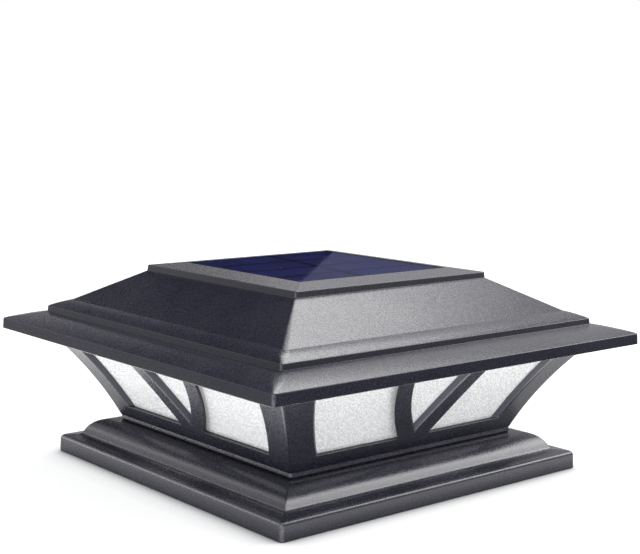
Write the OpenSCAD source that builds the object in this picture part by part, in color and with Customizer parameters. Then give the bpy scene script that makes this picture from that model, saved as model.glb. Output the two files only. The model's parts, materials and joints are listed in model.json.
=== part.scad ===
// Solar deck post cap light: a square two-tier roof with a solar panel, a flared
// lantern with frosted windows, and a moulded base that drops over a square post.
// Millimetres. +Z is up, the origin is at the middle of the underside.

/* [Post] */
// Actual width of the square post that the base drops over
post_w = 139.7; // [130:0.1:150]
// Gap on each side between the post and the locating ribs
post_gap = 0.85; // [0.3:0.05:2]

/* [Post base] */
// Wall of the skirt
skirt_wall = 3; // [2:0.1:5]
// Height of the skirt up to the ledge
skirt_h = 7; // [6:0.1:14]
// Thickness of the ledge and the deck
deck_t = 2.4; // [1.6:0.1:3]
// How much wider each side of the skirt is at the bottom than at the top
skirt_draft = 0.2; // [0:0.05:0.5]
// Rounding of the ledge's outer edge
arris_r = 1.6; // [0.8:0.1:2.4]
// Distance from the skirt's face in to the quarter round
ledge_w = 8; // [7:0.1:10]
// Rise of the ledge from its edge to the cove
ledge_rise = 0.35; // [0.1:0.05:1]
// Radius of the small cove at the foot of the quarter round
cove_r = 1.6; // [1:0.1:2]
// Radius of the quarter round under the lantern
round_r = 5.5; // [4.5:0.1:6]
// Corner radius of the skirt
skirt_corner_r = 1.5; // [0.8:0.1:3]
// Depth of the locating ribs inside the skirt
rib_depth = 3.3; // [2:0.1:5]
// Thickness of the ribs
rib_t = 1.8; // [1.2:0.1:3]
// Distance between the locating ribs along a side
rib_pitch = 45; // [35:1:55]
// Width of the square opening in the deck
deck_opening = 64; // [64:0.5:66]
// Distance between the post screws, the same both ways
screw_pitch = 78; // [76:0.5:80]
// Diameter of a post screw's hole
post_screw_d = 4.5; // [3.5:0.1:5]
// Diameter of the counterbore for a post screw's head
post_head_d = 9; // [7:0.1:9.4]
// Depth of that counterbore
post_head_h = 5.8; // [4:0.1:6.4]
// Wall round a post screw's counterbore
post_boss_wall = 1.2; // [0.8:0.1:1.2]
// Height of the rim on the deck that locates the lantern
locating_rim_h = 1.8; // [1:0.1:1.9]
// Thickness of that rim
locating_rim_t = 2; // [1.2:0.1:2]

/* [Lantern] */
// Width across the bead round the lantern's foot
foot_w = 116.4; // [114:0.1:119]
// Height of the foot, up to the neck
foot_h = 2.2; // [2:0.1:3]
// Rounding of the foot's bead
bead_r = 1.1; // [0.6:0.1:1.2]
// Width of the flare where it meets the soffit
flare_top_w = 163; // [158:0.1:166]
// Height from the deck to the soffit
lantern_h = 38.75; // [36:0.05:44]
// Radius of the hollow curve of the walls
flare_r = 131; // [110:1:180]
// Thickness of the lantern's walls
lantern_wall = 2.2; // [1.8:0.1:3]
// Corner radius of the lantern's foot
foot_corner_r = 1.2; // [0.6:0.1:3]
// Thickness of the soffit flange
soffit_t = 2; // [1.6:0.1:2.4]
// Width of the foot's ring between the wall and the inner opening
foot_ring_w = 10.2; // [9.5:0.1:10.6]
// Gap between the foot's ring and the base's rim
head_gap = 0.3; // [0.2:0.05:0.5]

/* [Windows] */
// Height of the window sills above the lantern's foot
sill_h = 5.55; // [4:0.05:8]
// Height of the rail over the windows
top_rail = 2.7; // [2:0.1:4]
// Width of a corner post at the sill
corner_post_w = 12.2; // [10:0.1:16]
// Slope of the corner posts' inner edges from upright, in degrees
corner_post_lean = 28.9; // [26:0.1:31]
// Width of a curved bar
bar_w = 7.4; // [5:0.1:9]
// Radius of a bar's inner edge
bar_r = 110; // [100:1:140]
// Lean of the bars from upright where they meet, in degrees
bar_lean = 39.7; // [37:0.1:42]
// Height above the sills of the point where the bars' inner edges meet
bar_meet_h = 1.7; // [1.2:0.1:3]

/* [Lens] */
// Thickness of the frosted liner
lens_t = 1.6; // [1.2:0.1:2.2]
// Gap between the liner and the lantern's walls
lens_gap = 0.15; // [0.1:0.05:0.3]
// Width of the liner's foot flange
lens_foot_w = 5.5; // [4:0.1:6]
// Width that the liner's top flange covers on the soffit
lens_flange_w = 2.6; // [1.8:0.1:3]
// Thickness of the liner's flanges
lens_flange_t = 1.4; // [1:0.1:1.6]

/* [Roof] */
// Overhang of the fascia's bottom beyond the top of the flare
eave_w = 12.7; // [12:0.1:16]
// Height of the fascia
fascia_h = 4.4; // [4:0.1:6]
// How far the soffit stands up inside the fascia
soffit_recess = 0.7; // [0.4:0.1:1.2]
// How much narrower each side of the fascia is at its top
fascia_draft = 0.2; // [0:0.05:0.4]
// Corner radius of the fascia
fascia_corner_r = 1.3; // [0.8:0.1:3]
// Rise of the convex skirt over the fascia
eave_rise = 4; // [3.6:0.1:5]
// Radius of the convex skirt
eave_r = 50; // [30:1:90]
// Distance from the fascia's face in to the small upright tier
tier_in = 13.9; // [13:0.1:15]
// Height of that tier
tier_h = 1.75; // [1.4:0.05:3]
// Corner radius of that tier
tier_corner_r = 1; // [0.6:0.1:2]
// Width of the convex strip between the tier and the slopes
strip_w = 7.1; // [6:0.1:9]
// Rise of that strip
strip_rise = 2.95; // [2.4:0.05:4]
// Radius of that strip
strip_r = 22; // [14:1:60]
// Rise of the straight hip slopes
slope_rise = 12.85; // [11:0.05:16]
// Thickness of the roof's shell
roof_wall = 2.2; // [1.8:0.1:2.4]
// Distance from the fascia's face in to the roof screws
roof_screw_inset = 8.6; // [8:0.1:9]

/* [Solar panel] */
// Width of the bezel round the panel
bezel_w = 99.6; // [97:0.1:104]
// Height of the bezel's upright face
bezel_h = 2.4; // [2:0.1:4]
// Rise of the bezel's top from its edge to its crest
bezel_crown = 1.5; // [0.8:0.1:2]
// Width of the square panel
panel_w = 76.4; // [70:0.1:78]
// Gap between the panel and its pocket
panel_gap = 0.15; // [0.1:0.05:0.4]
// Depth of the panel's face under the crest
panel_recess = 0.2; // [0.1:0.05:0.6]
// Thickness of the panel's clear face
glazing_t = 1.6; // [1:0.1:2]
// Thickness of the cells
cell_t = 0.4; // [0.3:0.1:0.6]
// Thickness of the panel's backing board
backing_t = 1.2; // [0.8:0.1:1.6]
// Thickness of the gasket under the panel
gasket_t = 0.6; // [0.4:0.1:1]
// Thickness of the shelf that carries the panel
shelf_t = 2.2; // [1.6:0.1:3]
// Width of the shelf under the panel's edge
shelf_w = 4.8; // [3.5:0.1:6]
// Dark border between the panel's edge and the cells
cell_border = 0.8; // [0.4:0.1:2]
// Gap between two rows of cells
row_gap = 0.5; // [0.3:0.05:1]
// Gap between the two columns of cells
column_gap = 1.2; // [0.6:0.1:2]
// Turn of the gap between the columns, in degrees
column_skew = 9; // [0:0.5:12]
// Height of a row of cells
row_pitch = 19.5; // [17:0.1:19.6]

/* [Lamp] */
// Thickness of the lamp floor
floor_t = 2; // [1.6:0.1:3]
// Gap between the lamp floor and the lantern's walls
floor_gap = 0.35; // [0.2:0.05:0.6]
// Diameter of the rechargeable cell
battery_d = 14.2; // [13.5:0.1:14.5]
// Length of the cell without its button
battery_l = 48.5; // [44:0.1:49.5]
// Height of the cell's button
button_h = 1.2; // [1:0.1:1.6]
// Length of the leaf spring when the cell is in
spring_l = 4.9; // [3.5:0.1:5.5]
// Wall of the battery box
box_wall = 1.6; // [1.2:0.1:2]
// Gap round the cell in its box
battery_gap = 1; // [0.6:0.1:1.2]
// Thickness of the battery door
door_t = 1.2; // [1:0.1:1.3]
// Thickness of the door's gasket
door_gasket_t = 0.3; // [0.2:0.05:0.3]
// Height of the door's plug inside the box
door_plug_h = 1.6; // [1:0.1:2]
// Height of the reflector above the lamp floor
reflector_h = 20; // [20:0.1:24]
// Space between the battery box's ends and the edge of the reflector's flat top
reflector_gap = 3.6; // [2:0.1:5]
// Thickness of the reflector
reflector_t = 1.6; // [1.2:0.1:2]
// Thickness of the circuit boards
board_t = 1.6; // [1.2:0.1:2]
// Width of the LED board
led_board_w = 56; // [52:0.5:60]
// Width of one LED
led_w = 3.5; // [2.8:0.1:4]
// Height of the control board over the lamp floor
board_h = 5; // [4.6:0.1:6]
// Travel of the mode switch between off, low and high
switch_travel = 4; // [2:0.1:4.4]
// Diameter of a lead over its insulation
lead_d = 1.4; // [1:0.1:1.6]

/* [Hidden] */
$fn = 96;
eps = 0.01;             // overlap that joins solids of one piece
past = 1;               // how far a cut runs past a surface
arc_fn = 360;           // segments of the large mouldings' arcs
reach = flare_top_w;    // half length of the extrusions that mouldings are cut from

// Heights, from the ground up
z_under = skirt_h - deck_t;
z_cove = skirt_h + ledge_rise + cove_r;
z_deck = z_cove + round_r;
z_neck = z_deck + foot_h;
z_sill = z_neck + sill_h;
z_soffit = z_deck + lantern_h;
z_flange = z_soffit + soffit_t;
z_eave = z_soffit - soffit_recess;
z_fascia = z_eave + fascia_h;
z_tier = z_fascia + eave_rise;
z_strip = z_tier + tier_h;
z_slope = z_strip + strip_rise;
z_bezel = z_slope + slope_rise;
z_bezel_top = z_bezel + bezel_h;
z_crest = z_bezel_top + bezel_crown;
z_panel = z_crest - panel_recess;
z_cells = z_panel - glazing_t;
z_backing = z_cells - cell_t;
z_gasket = z_backing - backing_t;
z_shelf = z_gasket - gasket_t;
z_floor = z_neck + floor_t;

// Half widths of the base
skirt_half = post_w / 2 + post_gap + rib_depth + skirt_wall;
skirt_in = skirt_half - skirt_wall;
round_half = skirt_half - ledge_w - round_r;
post_screw_at = screw_pitch / 2;
post_boss_r = post_head_d / 2 + post_boss_wall;

// Half widths of the lantern and its flare
foot_half = foot_w / 2;
foot_in = foot_half - foot_ring_w;
neck_half = foot_half;
flare_top = flare_top_w / 2;
flare_c = arc_centre([neck_half, z_neck], [flare_top, z_soffit], flare_r, -1);
z_window_top = z_soffit - top_rail;
z_meet = z_sill + bar_meet_h;

// Half widths of the roof
roof_half = flare_top + eave_w;
eave_half = roof_half - fascia_draft;
fascia_in = eave_half - roof_wall;
tier_half = roof_half - tier_in;
strip_half = tier_half - 0.2;
slope_half = strip_half - strip_w;
bezel_half = bezel_w / 2;
bezel_top_half = bezel_half - 0.2;
slope_angle = atan(slope_rise / (slope_half - bezel_half));
panel_half = panel_w / 2;
pocket_half = panel_half + panel_gap;
pocket_wall = 2.4;
roof_screw_at = roof_half - roof_screw_inset;
roof_boss_top = z_fascia + 1.7;
roof_boss_d = 6;
soffit_half = fascia_in - 0.2;

// Lens
lens_out = lantern_wall + lens_gap;
lens_in = lens_out + lens_t;

// Lamp floor and what stands on it
contact_t = 0.5;
floor_half = flare_half(z_neck, lantern_wall) - floor_gap;
reflector_half = flare_half(z_floor, lens_in) - lens_foot_w - 1.5;
reflector_top = (battery_l + button_h + spring_l) / 2 + contact_t + box_wall + reflector_gap;
z_reflector = z_floor + reflector_h;
reflector_rim = 1.4;
reflector_screw_in = 10;
reflector_screw_at = reflector_half - reflector_screw_in;
reflector_boss_d = 6.4;
reflector_boss_h = 6.5;
wire_hole_y = 19;
wire_hole_r = 4;
solder_pad = [5, 10];
led_boss_h = 5;
led_boss_d = 5;

// Battery box, door and contacts
bay_x = (battery_l + button_h + spring_l + 2 * contact_t) / 2;
bay_y = battery_d / 2 + battery_gap;
box_x = bay_x + box_wall;
box_y = bay_y + box_wall;
z_battery = z_neck + door_plug_h + 0.3 + battery_d / 2;
z_bay_top = z_battery + battery_d / 2 + 0.4;
door_x = bay_x + 2.2;
door_boss_d = 6;
door_boss_h = 6;
door_screw_y = box_y + door_boss_d / 2 - 0.4;
door_y = door_screw_y + 3.7;
door_plug_gap = 0.5;
door_gasket_w = 1.8;
z_door = z_neck - door_gasket_t - door_t;
contact_w = 12;
tab_z = z_battery + 0.6;
tab_h = 2.6;
tab_out = box_y + 1.8;
tab_gap = 0.1;

// Control board and switch
board_x = 22;
board_y0 = door_screw_y + 4.7;
board_d = 18;
z_board = z_floor + board_h;
z_board_top = z_board + board_t;
chip = [8, 5, 1.5];
driver = [5, 3.6, 1.4];
diode = [4, 1.8, 1];
capacitor_d = 5;
capacitor_h = 6;
board_post_d = 5;
board_screw_x = board_x - board_post_d / 2;
board_screw_y = board_y0 + board_d - board_post_d / 2;
switch_y = board_y0 + 8;
switch_h = 4;
switch_w = 8.6;
switch_d = 4.6;
knob_x = 2;
knob_y = 1.4;
knob_off = -switch_travel / 2;
knob_gap = 0.4;

// Small screws: shank, head and the holes they pass
screw_d = 2.9;
screw_head_d = 5;
screw_head_h = 1.3;
sink_h = 1.1;
screw_hole_gap = 0.4;
pilot_gap = 0.05;

// LED board
z_led_board = z_reflector;
z_led_top = z_led_board + board_t;
led_board_half = led_board_w / 2;
led_screw_in = 6;
led_screw_at = led_board_half - led_screw_in;
led_row_at = led_board_half - led_w / 2 - 1.2;
led_spacing = 9;

// Routes of the leads, from the solar panel, the battery box and the LED board
panel_lead_red_route = lead_down(-1);
panel_lead_black_route = lead_down(1);
battery_lead_end = [15, board_y0 + 3.4];

function unit(v) = v / norm(v);

// Centre of the circle of radius r through a and b, on the side that s gives
function arc_centre(a, b, r, s) = let (
    d = b - a,
    square_on = [-d.y, d.x] / norm(d),
    back = sqrt(r * r - d * d / 4)
) (a + b) / 2 + s * back * square_on;

// Centre of the circle through three points
function centre_through(a, b, c) = let (
    p = a - c,
    q = b - c,
    k = 2 * (p.x * q.y - p.y * q.x)
) c + [q.y * (p * p) - p.y * (q * q), p.x * (q * q) - q.x * (p * p)] / k;

// Half width of the flared wall at a height, moved in by a thickness
function flare_half(z, inward) =
    flare_c.x - sqrt(pow(flare_r + inward, 2) - pow(z - flare_c.y, 2));

// Distance of a corner post's inner edge from the middle of its side
function post_edge(z) =
    flare_half(z_sill, 0) - corner_post_w + tan(corner_post_lean) * (z - z_sill);

// Distance of a curved bar's edge of radius r from the middle of its side
function bar_edge(z, r) =
    sqrt(r * r - pow(z - z_meet - bar_r * sin(bar_lean), 2)) - bar_r * cos(bar_lean);

// A point of the lantern's face, seen along the diagonal through the nearer corner
function seen(u, z) = [(flare_half(z, 0) - u) / sqrt(2), z];

// A panel lead's route: down from the backing board, through the LED board's hole
function lead_down(side) = let (x = side * (lead_d / 2 + 0.9)) [
    [side * solder_pad.x, solder_pad.y, z_gasket],
    [side * solder_pad.x, solder_pad.y, z_gasket - 5],
    [side * (solder_pad.x - 0.4), solder_pad.y + 2, z_gasket - 12],
    [x * 1.6, 16.5, z_reflector + 14],
    [x, wire_hole_y, z_reflector + 6],
    [x, wire_hole_y, z_reflector],
    [x, wire_hole_y, z_board_top + 5],
    [x, wire_hole_y, z_board_top]];

// A battery lead's route: from a contact's tab round to the control board
function lead_across(side) = [
    [side * (bay_x - contact_t / 2), tab_out, tab_z + tab_h / 2],
    [side * (bay_x - contact_t / 2), tab_out + 2, tab_z + tab_h / 2],
    [side * (bay_x - 1.6), tab_out + 4.4, tab_z + tab_h / 2],
    [side * (battery_lead_end.x + 5), battery_lead_end.y - 1.6, z_board_top + 3],
    [side * (battery_lead_end.x + 1), battery_lead_end.y, z_board_top + 2.4],
    [side * battery_lead_end.x, battery_lead_end.y, z_board_top + 1.4],
    [side * battery_lead_end.x, battery_lead_end.y, z_board_top]];

// An LED lead's route: over the edge of the wire hole and down to the control board
function lead_up(side) = let (x = side * (lead_d / 2 + 0.9)) [
    [x, wire_hole_y + 5.6, z_led_top],
    [x, wire_hole_y + 5.6, z_led_top + 0.9],
    [x, wire_hole_y + 4.6, z_led_top + 1.8],
    [x, wire_hole_y + 3.2, z_led_top + 1.6],
    [x, wire_hole_y + 2.4, z_led_top + 0.4],
    [x, wire_hole_y + 2.4, z_led_board - 6],
    [x, wire_hole_y + 2.8, z_board_top + 4],
    [x, wire_hole_y + 2.8, z_board_top]];

// ---- Shared shapes ----

// A moulding that shows the same outline on all four sides, mitred at its corners
module square_moulding() {
    intersection() {
        rotate([90, 0, 0]) linear_extrude(2 * reach, center = true) children();
        rotate([90, 0, 90]) linear_extrude(2 * reach, center = true) children();
    }
}

// Both halves of an outline that is drawn for one side
module both_halves() {
    children();
    mirror([1, 0]) children();
}

// One layer of an outline, from the middle out to half
module layer(half, z0, z1) translate([0, z0]) square([half, z1 - z0]);

// The layer under a convex arc from the outer point a up to the inner point b
module arc_layer(a, b, r) {
    layer(b.x, a.y, b.y);
    intersection() {
        translate(arc_centre(a, b, r, 1)) circle(r, $fn = arc_fn);
        layer(a.x, a.y, b.y);
    }
}

// A square block about the middle
module block(half, z0, z1)
    translate([-half, -half, z0]) cube([2 * half, 2 * half, z1 - z0]);

// A square ring about the middle
module frame(outer, inner, z0, z1) {
    difference() {
        block(outer, z0, z1);
        block(inner, z0 - past, z1 + past);
    }
}

// A square prism with rounded corners
module round_block(half, r, z0, z1) {
    translate([0, 0, z0]) linear_extrude(z1 - z0) {
        square([2 * half, 2 * (half - r)], center = true);
        square([2 * (half - r), 2 * half], center = true);
        at_corners(half - r) circle(r);
    }
}

// Copies at the four corners of a square
module at_corners(at) {
    for (sx = [-1, 1], sy = [-1, 1]) translate([sx * at, sy * at]) children();
}

// Copies on the four sides
module on_sides() for (turn = [0:90:270]) rotate(turn) children();

// An upright bore or post
module post(d, z0, z1) translate([0, 0, z0]) cylinder(z1 - z0, d = d);

// A pan-head screw that points up, with its head's top face at z0 and its tip at z1
module screw_up(z0, z1) {
    difference() {
        union() {
            post(screw_head_d, z0, z0 + screw_head_h);
            post(screw_d, z0, z1);
        }
        cross_recess(z0, 1);
    }
}

// A pan-head screw that points down, with its head's top face at z1
module screw_down(z0, z1) {
    difference() {
        union() {
            post(screw_head_d, z1 - screw_head_h, z1);
            post(screw_d, z0, z1);
        }
        cross_recess(z1, -1);
    }
}

// A countersunk screw that points up, with its head's flat face at z0
module flat_screw_up(z0, z1) {
    difference() {
        union() {
            translate([0, 0, z0]) cylinder(sink_h, d1 = screw_head_d, d2 = screw_d);
            post(screw_d, z0 + sink_h - eps, z1);
        }
        cross_recess(z0, 1);
    }
}

// The countersunk hole that it passes through, from the face at z0
module flat_screw_hole(z0, z1) {
    post(screw_d + screw_hole_gap, z0 - past, z1 + past);
    translate([0, 0, z0 - eps])
        cylinder(sink_h, d1 = screw_head_d + screw_hole_gap, d2 = screw_d + screw_hole_gap);
}

// Cross slots in a screw's head, cut from the face at z
module cross_recess(z, up) {
    depth = 0.8;
    for (turn = [0, 90]) {
        translate([0, 0, z + up * (depth - past) / 2]) rotate(turn)
            cube([2.8, 0.7, depth + past], center = true);
    }
}

// A lead: one tube along a route
module lead(route, across) {
    sides = 8;
    n = len(route);
    points = [for (i = [0:n - 1]) each let (
        ahead = unit(route[min(i + 1, n - 1)] - route[max(i - 1, 0)]),
        u = unit(cross(ahead, across)),
        v = cross(ahead, u)
    ) [for (k = [0:sides - 1]) route[i] + lead_d / 2
        * (cos(k * 360 / sides) * u + sin(k * 360 / sides) * v)]];
    walls = [for (i = [0:n - 2], k = [0:sides - 1]) each let (
        a = i * sides + k,
        b = i * sides + (k + 1) % sides
    ) [[a, b, b + sides], [a, b + sides, a + sides]]];
    start = [[for (k = [sides - 1:-1:0]) k]];
    end = [[for (k = [0:sides - 1]) (n - 1) * sides + k]];
    polyhedron(points, concat(start, walls, end));
}

// ---- Post base ----

module base_outline() both_halves() {
    polygon([[0, 0], [skirt_half + skirt_draft, 0], [skirt_half, skirt_h - arris_r],
        [0, skirt_h - arris_r]]);
    polygon([[0, skirt_h - arris_r - eps], [skirt_half - arris_r, skirt_h - arris_r - eps],
        [skirt_half - arris_r, skirt_h], [round_half + round_r + cove_r, skirt_h + ledge_rise],
        [0, skirt_h + ledge_rise]]);
    translate([skirt_half - arris_r, skirt_h - arris_r]) circle(arris_r);
    difference() {
        layer(round_half + round_r + cove_r, skirt_h, z_cove);
        translate([round_half + round_r + cove_r, z_cove]) circle(cove_r);
    }
    arc_end(round_half, z_cove, z_deck, round_r);
}

// A layer whose outer end is a quarter round
module arc_end(half, z0, z1, r) {
    layer(half, z0 - eps, z1);
    intersection() {
        translate([half, z0]) circle(r, $fn = arc_fn);
        layer(half + r, z0 - eps, z1);
    }
}

module base_inside() both_halves() {
    layer(skirt_in, -past, z_under);
    layer(round_half + round_r - deck_t, z_under - eps, z_cove + eps);
    arc_end(round_half, z_cove, z_deck - deck_t, round_r - deck_t);
}

module skirt_ribs() {
    rib_foot = 0.6;
    on_sides() for (u = [-1:1]) {
        translate([u * rib_pitch - rib_t / 2, skirt_in - rib_depth, rib_foot])
            cube([rib_t, rib_depth + eps, z_under - rib_foot + eps]);
    }
}

// Walls that tie each screw boss to the two nearest sides
module boss_webs() {
    web_z = skirt_h;
    on_sides() for (s = [-1, 1]) {
        translate([s * post_screw_at - rib_t / 2, post_screw_at + post_boss_r - 1, web_z])
            cube([rib_t, round_half + round_r - deck_t - post_screw_at - post_boss_r + 1.5,
                z_deck - deck_t - web_z + eps]);
    }
}

module post_base() color([0.13, 0.13, 0.15]) {
    rim_half = foot_in - head_gap;
    difference() {
        union() {
            difference() {
                intersection() {
                    square_moulding() base_outline();
                    round_block(skirt_half + skirt_draft, skirt_corner_r, 0, z_deck);
                }
                square_moulding() base_inside();
            }
            skirt_ribs();
            boss_webs();
            at_corners(post_screw_at) post(2 * post_boss_r, z_under, z_deck - eps);
            frame(rim_half, rim_half - locating_rim_t, z_deck - eps, z_deck + locating_rim_h);
        }
        block(deck_opening / 2, z_under - past, z_deck + past);
        at_corners(post_screw_at) {
            post(post_screw_d, z_under - past, z_deck + past);
            post(post_head_d, z_deck - post_head_h, z_deck + past);
        }
    }
}

// ---- Lantern ----

module flare_region(inward, z0, z1) difference() {
    layer(flare_half(z1, inward), z0, z1);
    translate(flare_c) circle(flare_r + inward, $fn = arc_fn);
}

module lantern_outline() both_halves() {
    layer(foot_half - bead_r, z_deck, z_neck);
    translate([foot_half - bead_r, z_deck + foot_h / 2]) intersection() {
        circle(bead_r);
        square(foot_h, center = true);
    }
    flare_region(0, z_neck - eps, z_soffit);
    layer(soffit_half, z_soffit - eps, z_flange);
}

module lantern_inside() both_halves() {
    layer(foot_in, z_deck - past, z_neck);
    flare_region(lantern_wall, z_neck - eps, z_flange + eps);
}

// The disc whose rim is a window edge, through the edge's foot, middle and top
module edge_disc(edge) {
    centre = centre_through(edge[0], edge[1], edge[2]);
    translate(centre) circle(norm(edge[0] - centre), $fn = arc_fn);
}

// The windows on both sides of a corner, seen along its diagonal, the way they are cut
module window_outlines() both_halves() {
    levels = [z_sill, (z_sill + z_window_top) / 2, z_window_top];
    middle = flare_top / sqrt(2);
    difference() {
        intersection() {
            edge_disc([for (z = levels) seen(post_edge(z), z)]);
            layer(middle, z_sill, z_window_top);
        }
        edge_disc([for (z = levels) seen(bar_edge(z, bar_r + bar_w), z)]);
    }
    intersection() {
        edge_disc([for (z = levels) seen(bar_edge(z, bar_r), z)]);
        layer(middle, z_meet, z_window_top);
    }
}

// The cuts of all windows: each corner's run along its diagonal, up to the sides' middles
module window_cuts() {
    for (turn = [0:90:270]) rotate(turn) intersection() {
        rotate([90, 0, -45]) linear_extrude(2 * reach) window_outlines();
        translate([-reach, -reach, z_sill - past]) cube([reach + eps, reach + eps, lantern_h]);
    }
}

module lantern_frame() color([0.14, 0.14, 0.17]) {
    difference() {
        intersection() {
            square_moulding() lantern_outline();
            union() {
                round_block(foot_half, foot_corner_r, z_deck, z_neck);
                block(roof_half, z_neck - eps, z_flange);
            }
        }
        square_moulding() lantern_inside();
        window_cuts();
        at_corners(roof_screw_at) flat_screw_hole(z_soffit, z_flange);
    }
}

module lens_liner() color([0.93, 0.93, 0.92]) {
    out_half = flare_half(z_flange, lens_out) + lens_flange_w;
    in_half = flare_half(z_flange, lens_in);
    foot_out = flare_half(z_floor + lens_flange_t, lens_in);
    difference() {
        square_moulding() both_halves() flare_region(lens_out, z_floor, z_flange + eps);
        square_moulding() both_halves() flare_region(lens_in, z_floor - eps, z_flange + past);
    }
    frame(foot_out + eps, foot_out - lens_foot_w, z_floor, z_floor + lens_flange_t);
    frame(out_half, in_half, z_flange, z_flange + lens_flange_t);
}

// ---- Roof ----

module roof_outer() {
    intersection() {
        square_moulding() both_halves() {
            polygon([[0, z_eave], [roof_half, z_eave], [eave_half, z_fascia], [0, z_fascia]]);
            arc_layer([eave_half, z_fascia - eps], [tier_half, z_tier], eave_r);
        }
        round_block(roof_half, fascia_corner_r, z_eave, z_tier);
    }
    intersection() {
        square_moulding() both_halves() {
            polygon([[0, z_tier - eps], [tier_half, z_tier - eps], [strip_half, z_strip],
                [0, z_strip]]);
            arc_layer([strip_half, z_strip - eps], [slope_half, z_slope], strip_r);
        }
        round_block(tier_half, tier_corner_r, z_tier - eps, z_slope);
    }
    square_moulding() both_halves() {
        polygon([[0, z_slope - eps], [slope_half, z_slope - eps], [bezel_half, z_bezel],
            [bezel_top_half, z_bezel_top], [pocket_half + 0.3, z_crest], [0, z_crest]]);
    }
}

module roof_inside() both_halves() {
    in_x = roof_wall * sin(slope_angle);
    in_z = roof_wall * cos(slope_angle);
    foot = [slope_half - in_x, z_slope - in_z];
    core = bezel_top_half - roof_wall;
    polygon([[0, z_eave - past], [fascia_in, z_eave - past],
        [fascia_in, z_fascia - roof_wall / 2],
        [tier_half - roof_wall, z_tier - roof_wall],
        [tier_half - roof_wall, z_strip - roof_wall],
        foot, [core, foot.y + (foot.x - core) * tan(slope_angle)],
        [core, z_bezel_top - roof_wall + 0.4], [0, z_bezel_top - roof_wall + 0.4]]);
}

// Ribs that hold the lens liner's flange down
module lens_ribs() {
    rib_out = flare_half(z_flange, lens_out) + lens_flange_w - 1;
    z_rib = z_flange + lens_flange_t + 0.05;
    on_sides() for (u = [-30, 30]) {
        translate([u - rib_t / 2, rib_out - 3, z_rib]) cube([rib_t, 3, z_tier - z_rib]);
    }
}

module roof_cover() color([0.17, 0.17, 0.2]) difference() {
    union() {
        difference() {
            roof_outer();
            square_moulding() roof_inside();
        }
        lens_ribs();
        at_corners(roof_screw_at) post(roof_boss_d, z_flange, roof_boss_top);
        block(pocket_half + pocket_wall, z_shelf - shelf_t, z_bezel_top - roof_wall + 0.5);
    }
    block(pocket_half, z_shelf, z_crest + past);
    block(panel_half - shelf_w, z_shelf - shelf_t - past, z_crest);
    at_corners(roof_screw_at) post(screw_d + 2 * pilot_gap, z_flange - past, roof_boss_top - 0.2);
}

module roof_gasket() color([0.06, 0.06, 0.06]) {
    frame(fascia_in - 1.2, fascia_in - 2.9, z_flange, z_flange + gasket_t);
}

module roof_screws() color([0.7, 0.7, 0.72]) at_corners(roof_screw_at) {
    flat_screw_up(z_soffit, roof_boss_top - 0.5);
}

// ---- Solar panel ----

module panel_gasket() color([0.06, 0.06, 0.06]) {
    frame(panel_half, panel_half - shelf_w + 0.6, z_shelf, z_gasket);
}

module panel_backing() color([0.05, 0.05, 0.08]) block(panel_half, z_gasket, z_backing);

module solar_cells() color([0.08, 0.09, 0.33]) {
    half = panel_half - cell_border;
    shift = -1.7;
    difference() {
        block(half, z_backing, z_cells);
        rotate(-column_skew) translate([-column_gap / 2, -2 * half, z_backing - past])
            cube([column_gap, 4 * half, cell_t + 2 * past]);
        for (row = [-1:1])
            translate([-half - past, row * row_pitch + shift - row_gap / 2, z_backing - past])
                cube([2 * (half + past), row_gap, cell_t + 2 * past]);
    }
}

module panel_glazing() color([0.2, 0.22, 0.4, 0.4]) block(panel_half, z_cells, z_panel);

// ---- Lamp floor ----

module lamp_floor() color([0.12, 0.12, 0.13]) difference() {
    union() {
        block(floor_half, z_neck, z_floor);
        translate([-box_x, -box_y, z_floor - eps])
            cube([2 * box_x, 2 * box_y, z_bay_top + box_wall - z_floor]);
        door_screw_places() post(door_boss_d, z_floor - eps, z_floor + door_boss_h);
        board_posts() post(board_post_d, z_floor - eps, z_board);
    }
    translate([-bay_x, -bay_y, z_neck - past])
        cube([2 * bay_x, 2 * bay_y, z_bay_top - z_neck + past]);
    door_screw_places()
        post(screw_d + 2 * pilot_gap, z_neck - past, z_floor + door_boss_h - 1);
    for (s = [-1, 1]) {
        translate([s * (bay_x - contact_t / 2) - contact_t / 2 - tab_gap, bay_y - past,
            tab_z - tab_gap])
            cube([contact_t + 2 * tab_gap, box_wall + 2 * past, tab_h + 2 * tab_gap]);
    }
    board_screw_places() post(screw_d, z_floor + 0.6, z_board + past);
    at_corners(reflector_screw_at) post(screw_d + screw_hole_gap, z_neck - past, z_floor + past);
    translate([0, switch_y, (z_neck + z_floor) / 2])
        cube([switch_travel + knob_x + 2 * knob_gap, knob_y + 2 * knob_gap, floor_t + 2 * past],
            center = true);
}

module board_screw_places() {
    for (s = [-1, 1]) translate([s * board_screw_x, board_screw_y]) children();
}

module board_posts() {
    board_screw_places() children();
    for (s = [-1, 1]) translate([s * board_screw_x, board_y0 + board_post_d / 2]) children();
}

module reflector_outline() both_halves() {
    polygon([[0, z_floor], [reflector_half, z_floor], [reflector_half, z_floor + reflector_rim],
        [reflector_top, z_reflector], [0, z_reflector]]);
}

module reflector_inside() both_halves() {
    polygon([[0, z_floor - past], [reflector_half - reflector_t, z_floor - past],
        [reflector_half - reflector_t, z_floor + reflector_rim - 0.4],
        [reflector_top - reflector_t, z_reflector - reflector_t],
        [0, z_reflector - reflector_t]]);
}

// Pads that tie the screw bosses to the reflector's corners
module reflector_feet() {
    pad = reflector_half - reflector_t / 2 - reflector_screw_at;
    for (turn = [0:90:270]) rotate(turn)
        translate([reflector_screw_at, reflector_screw_at, z_floor])
            cube([pad, pad, reflector_rim - 0.2]);
}

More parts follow.
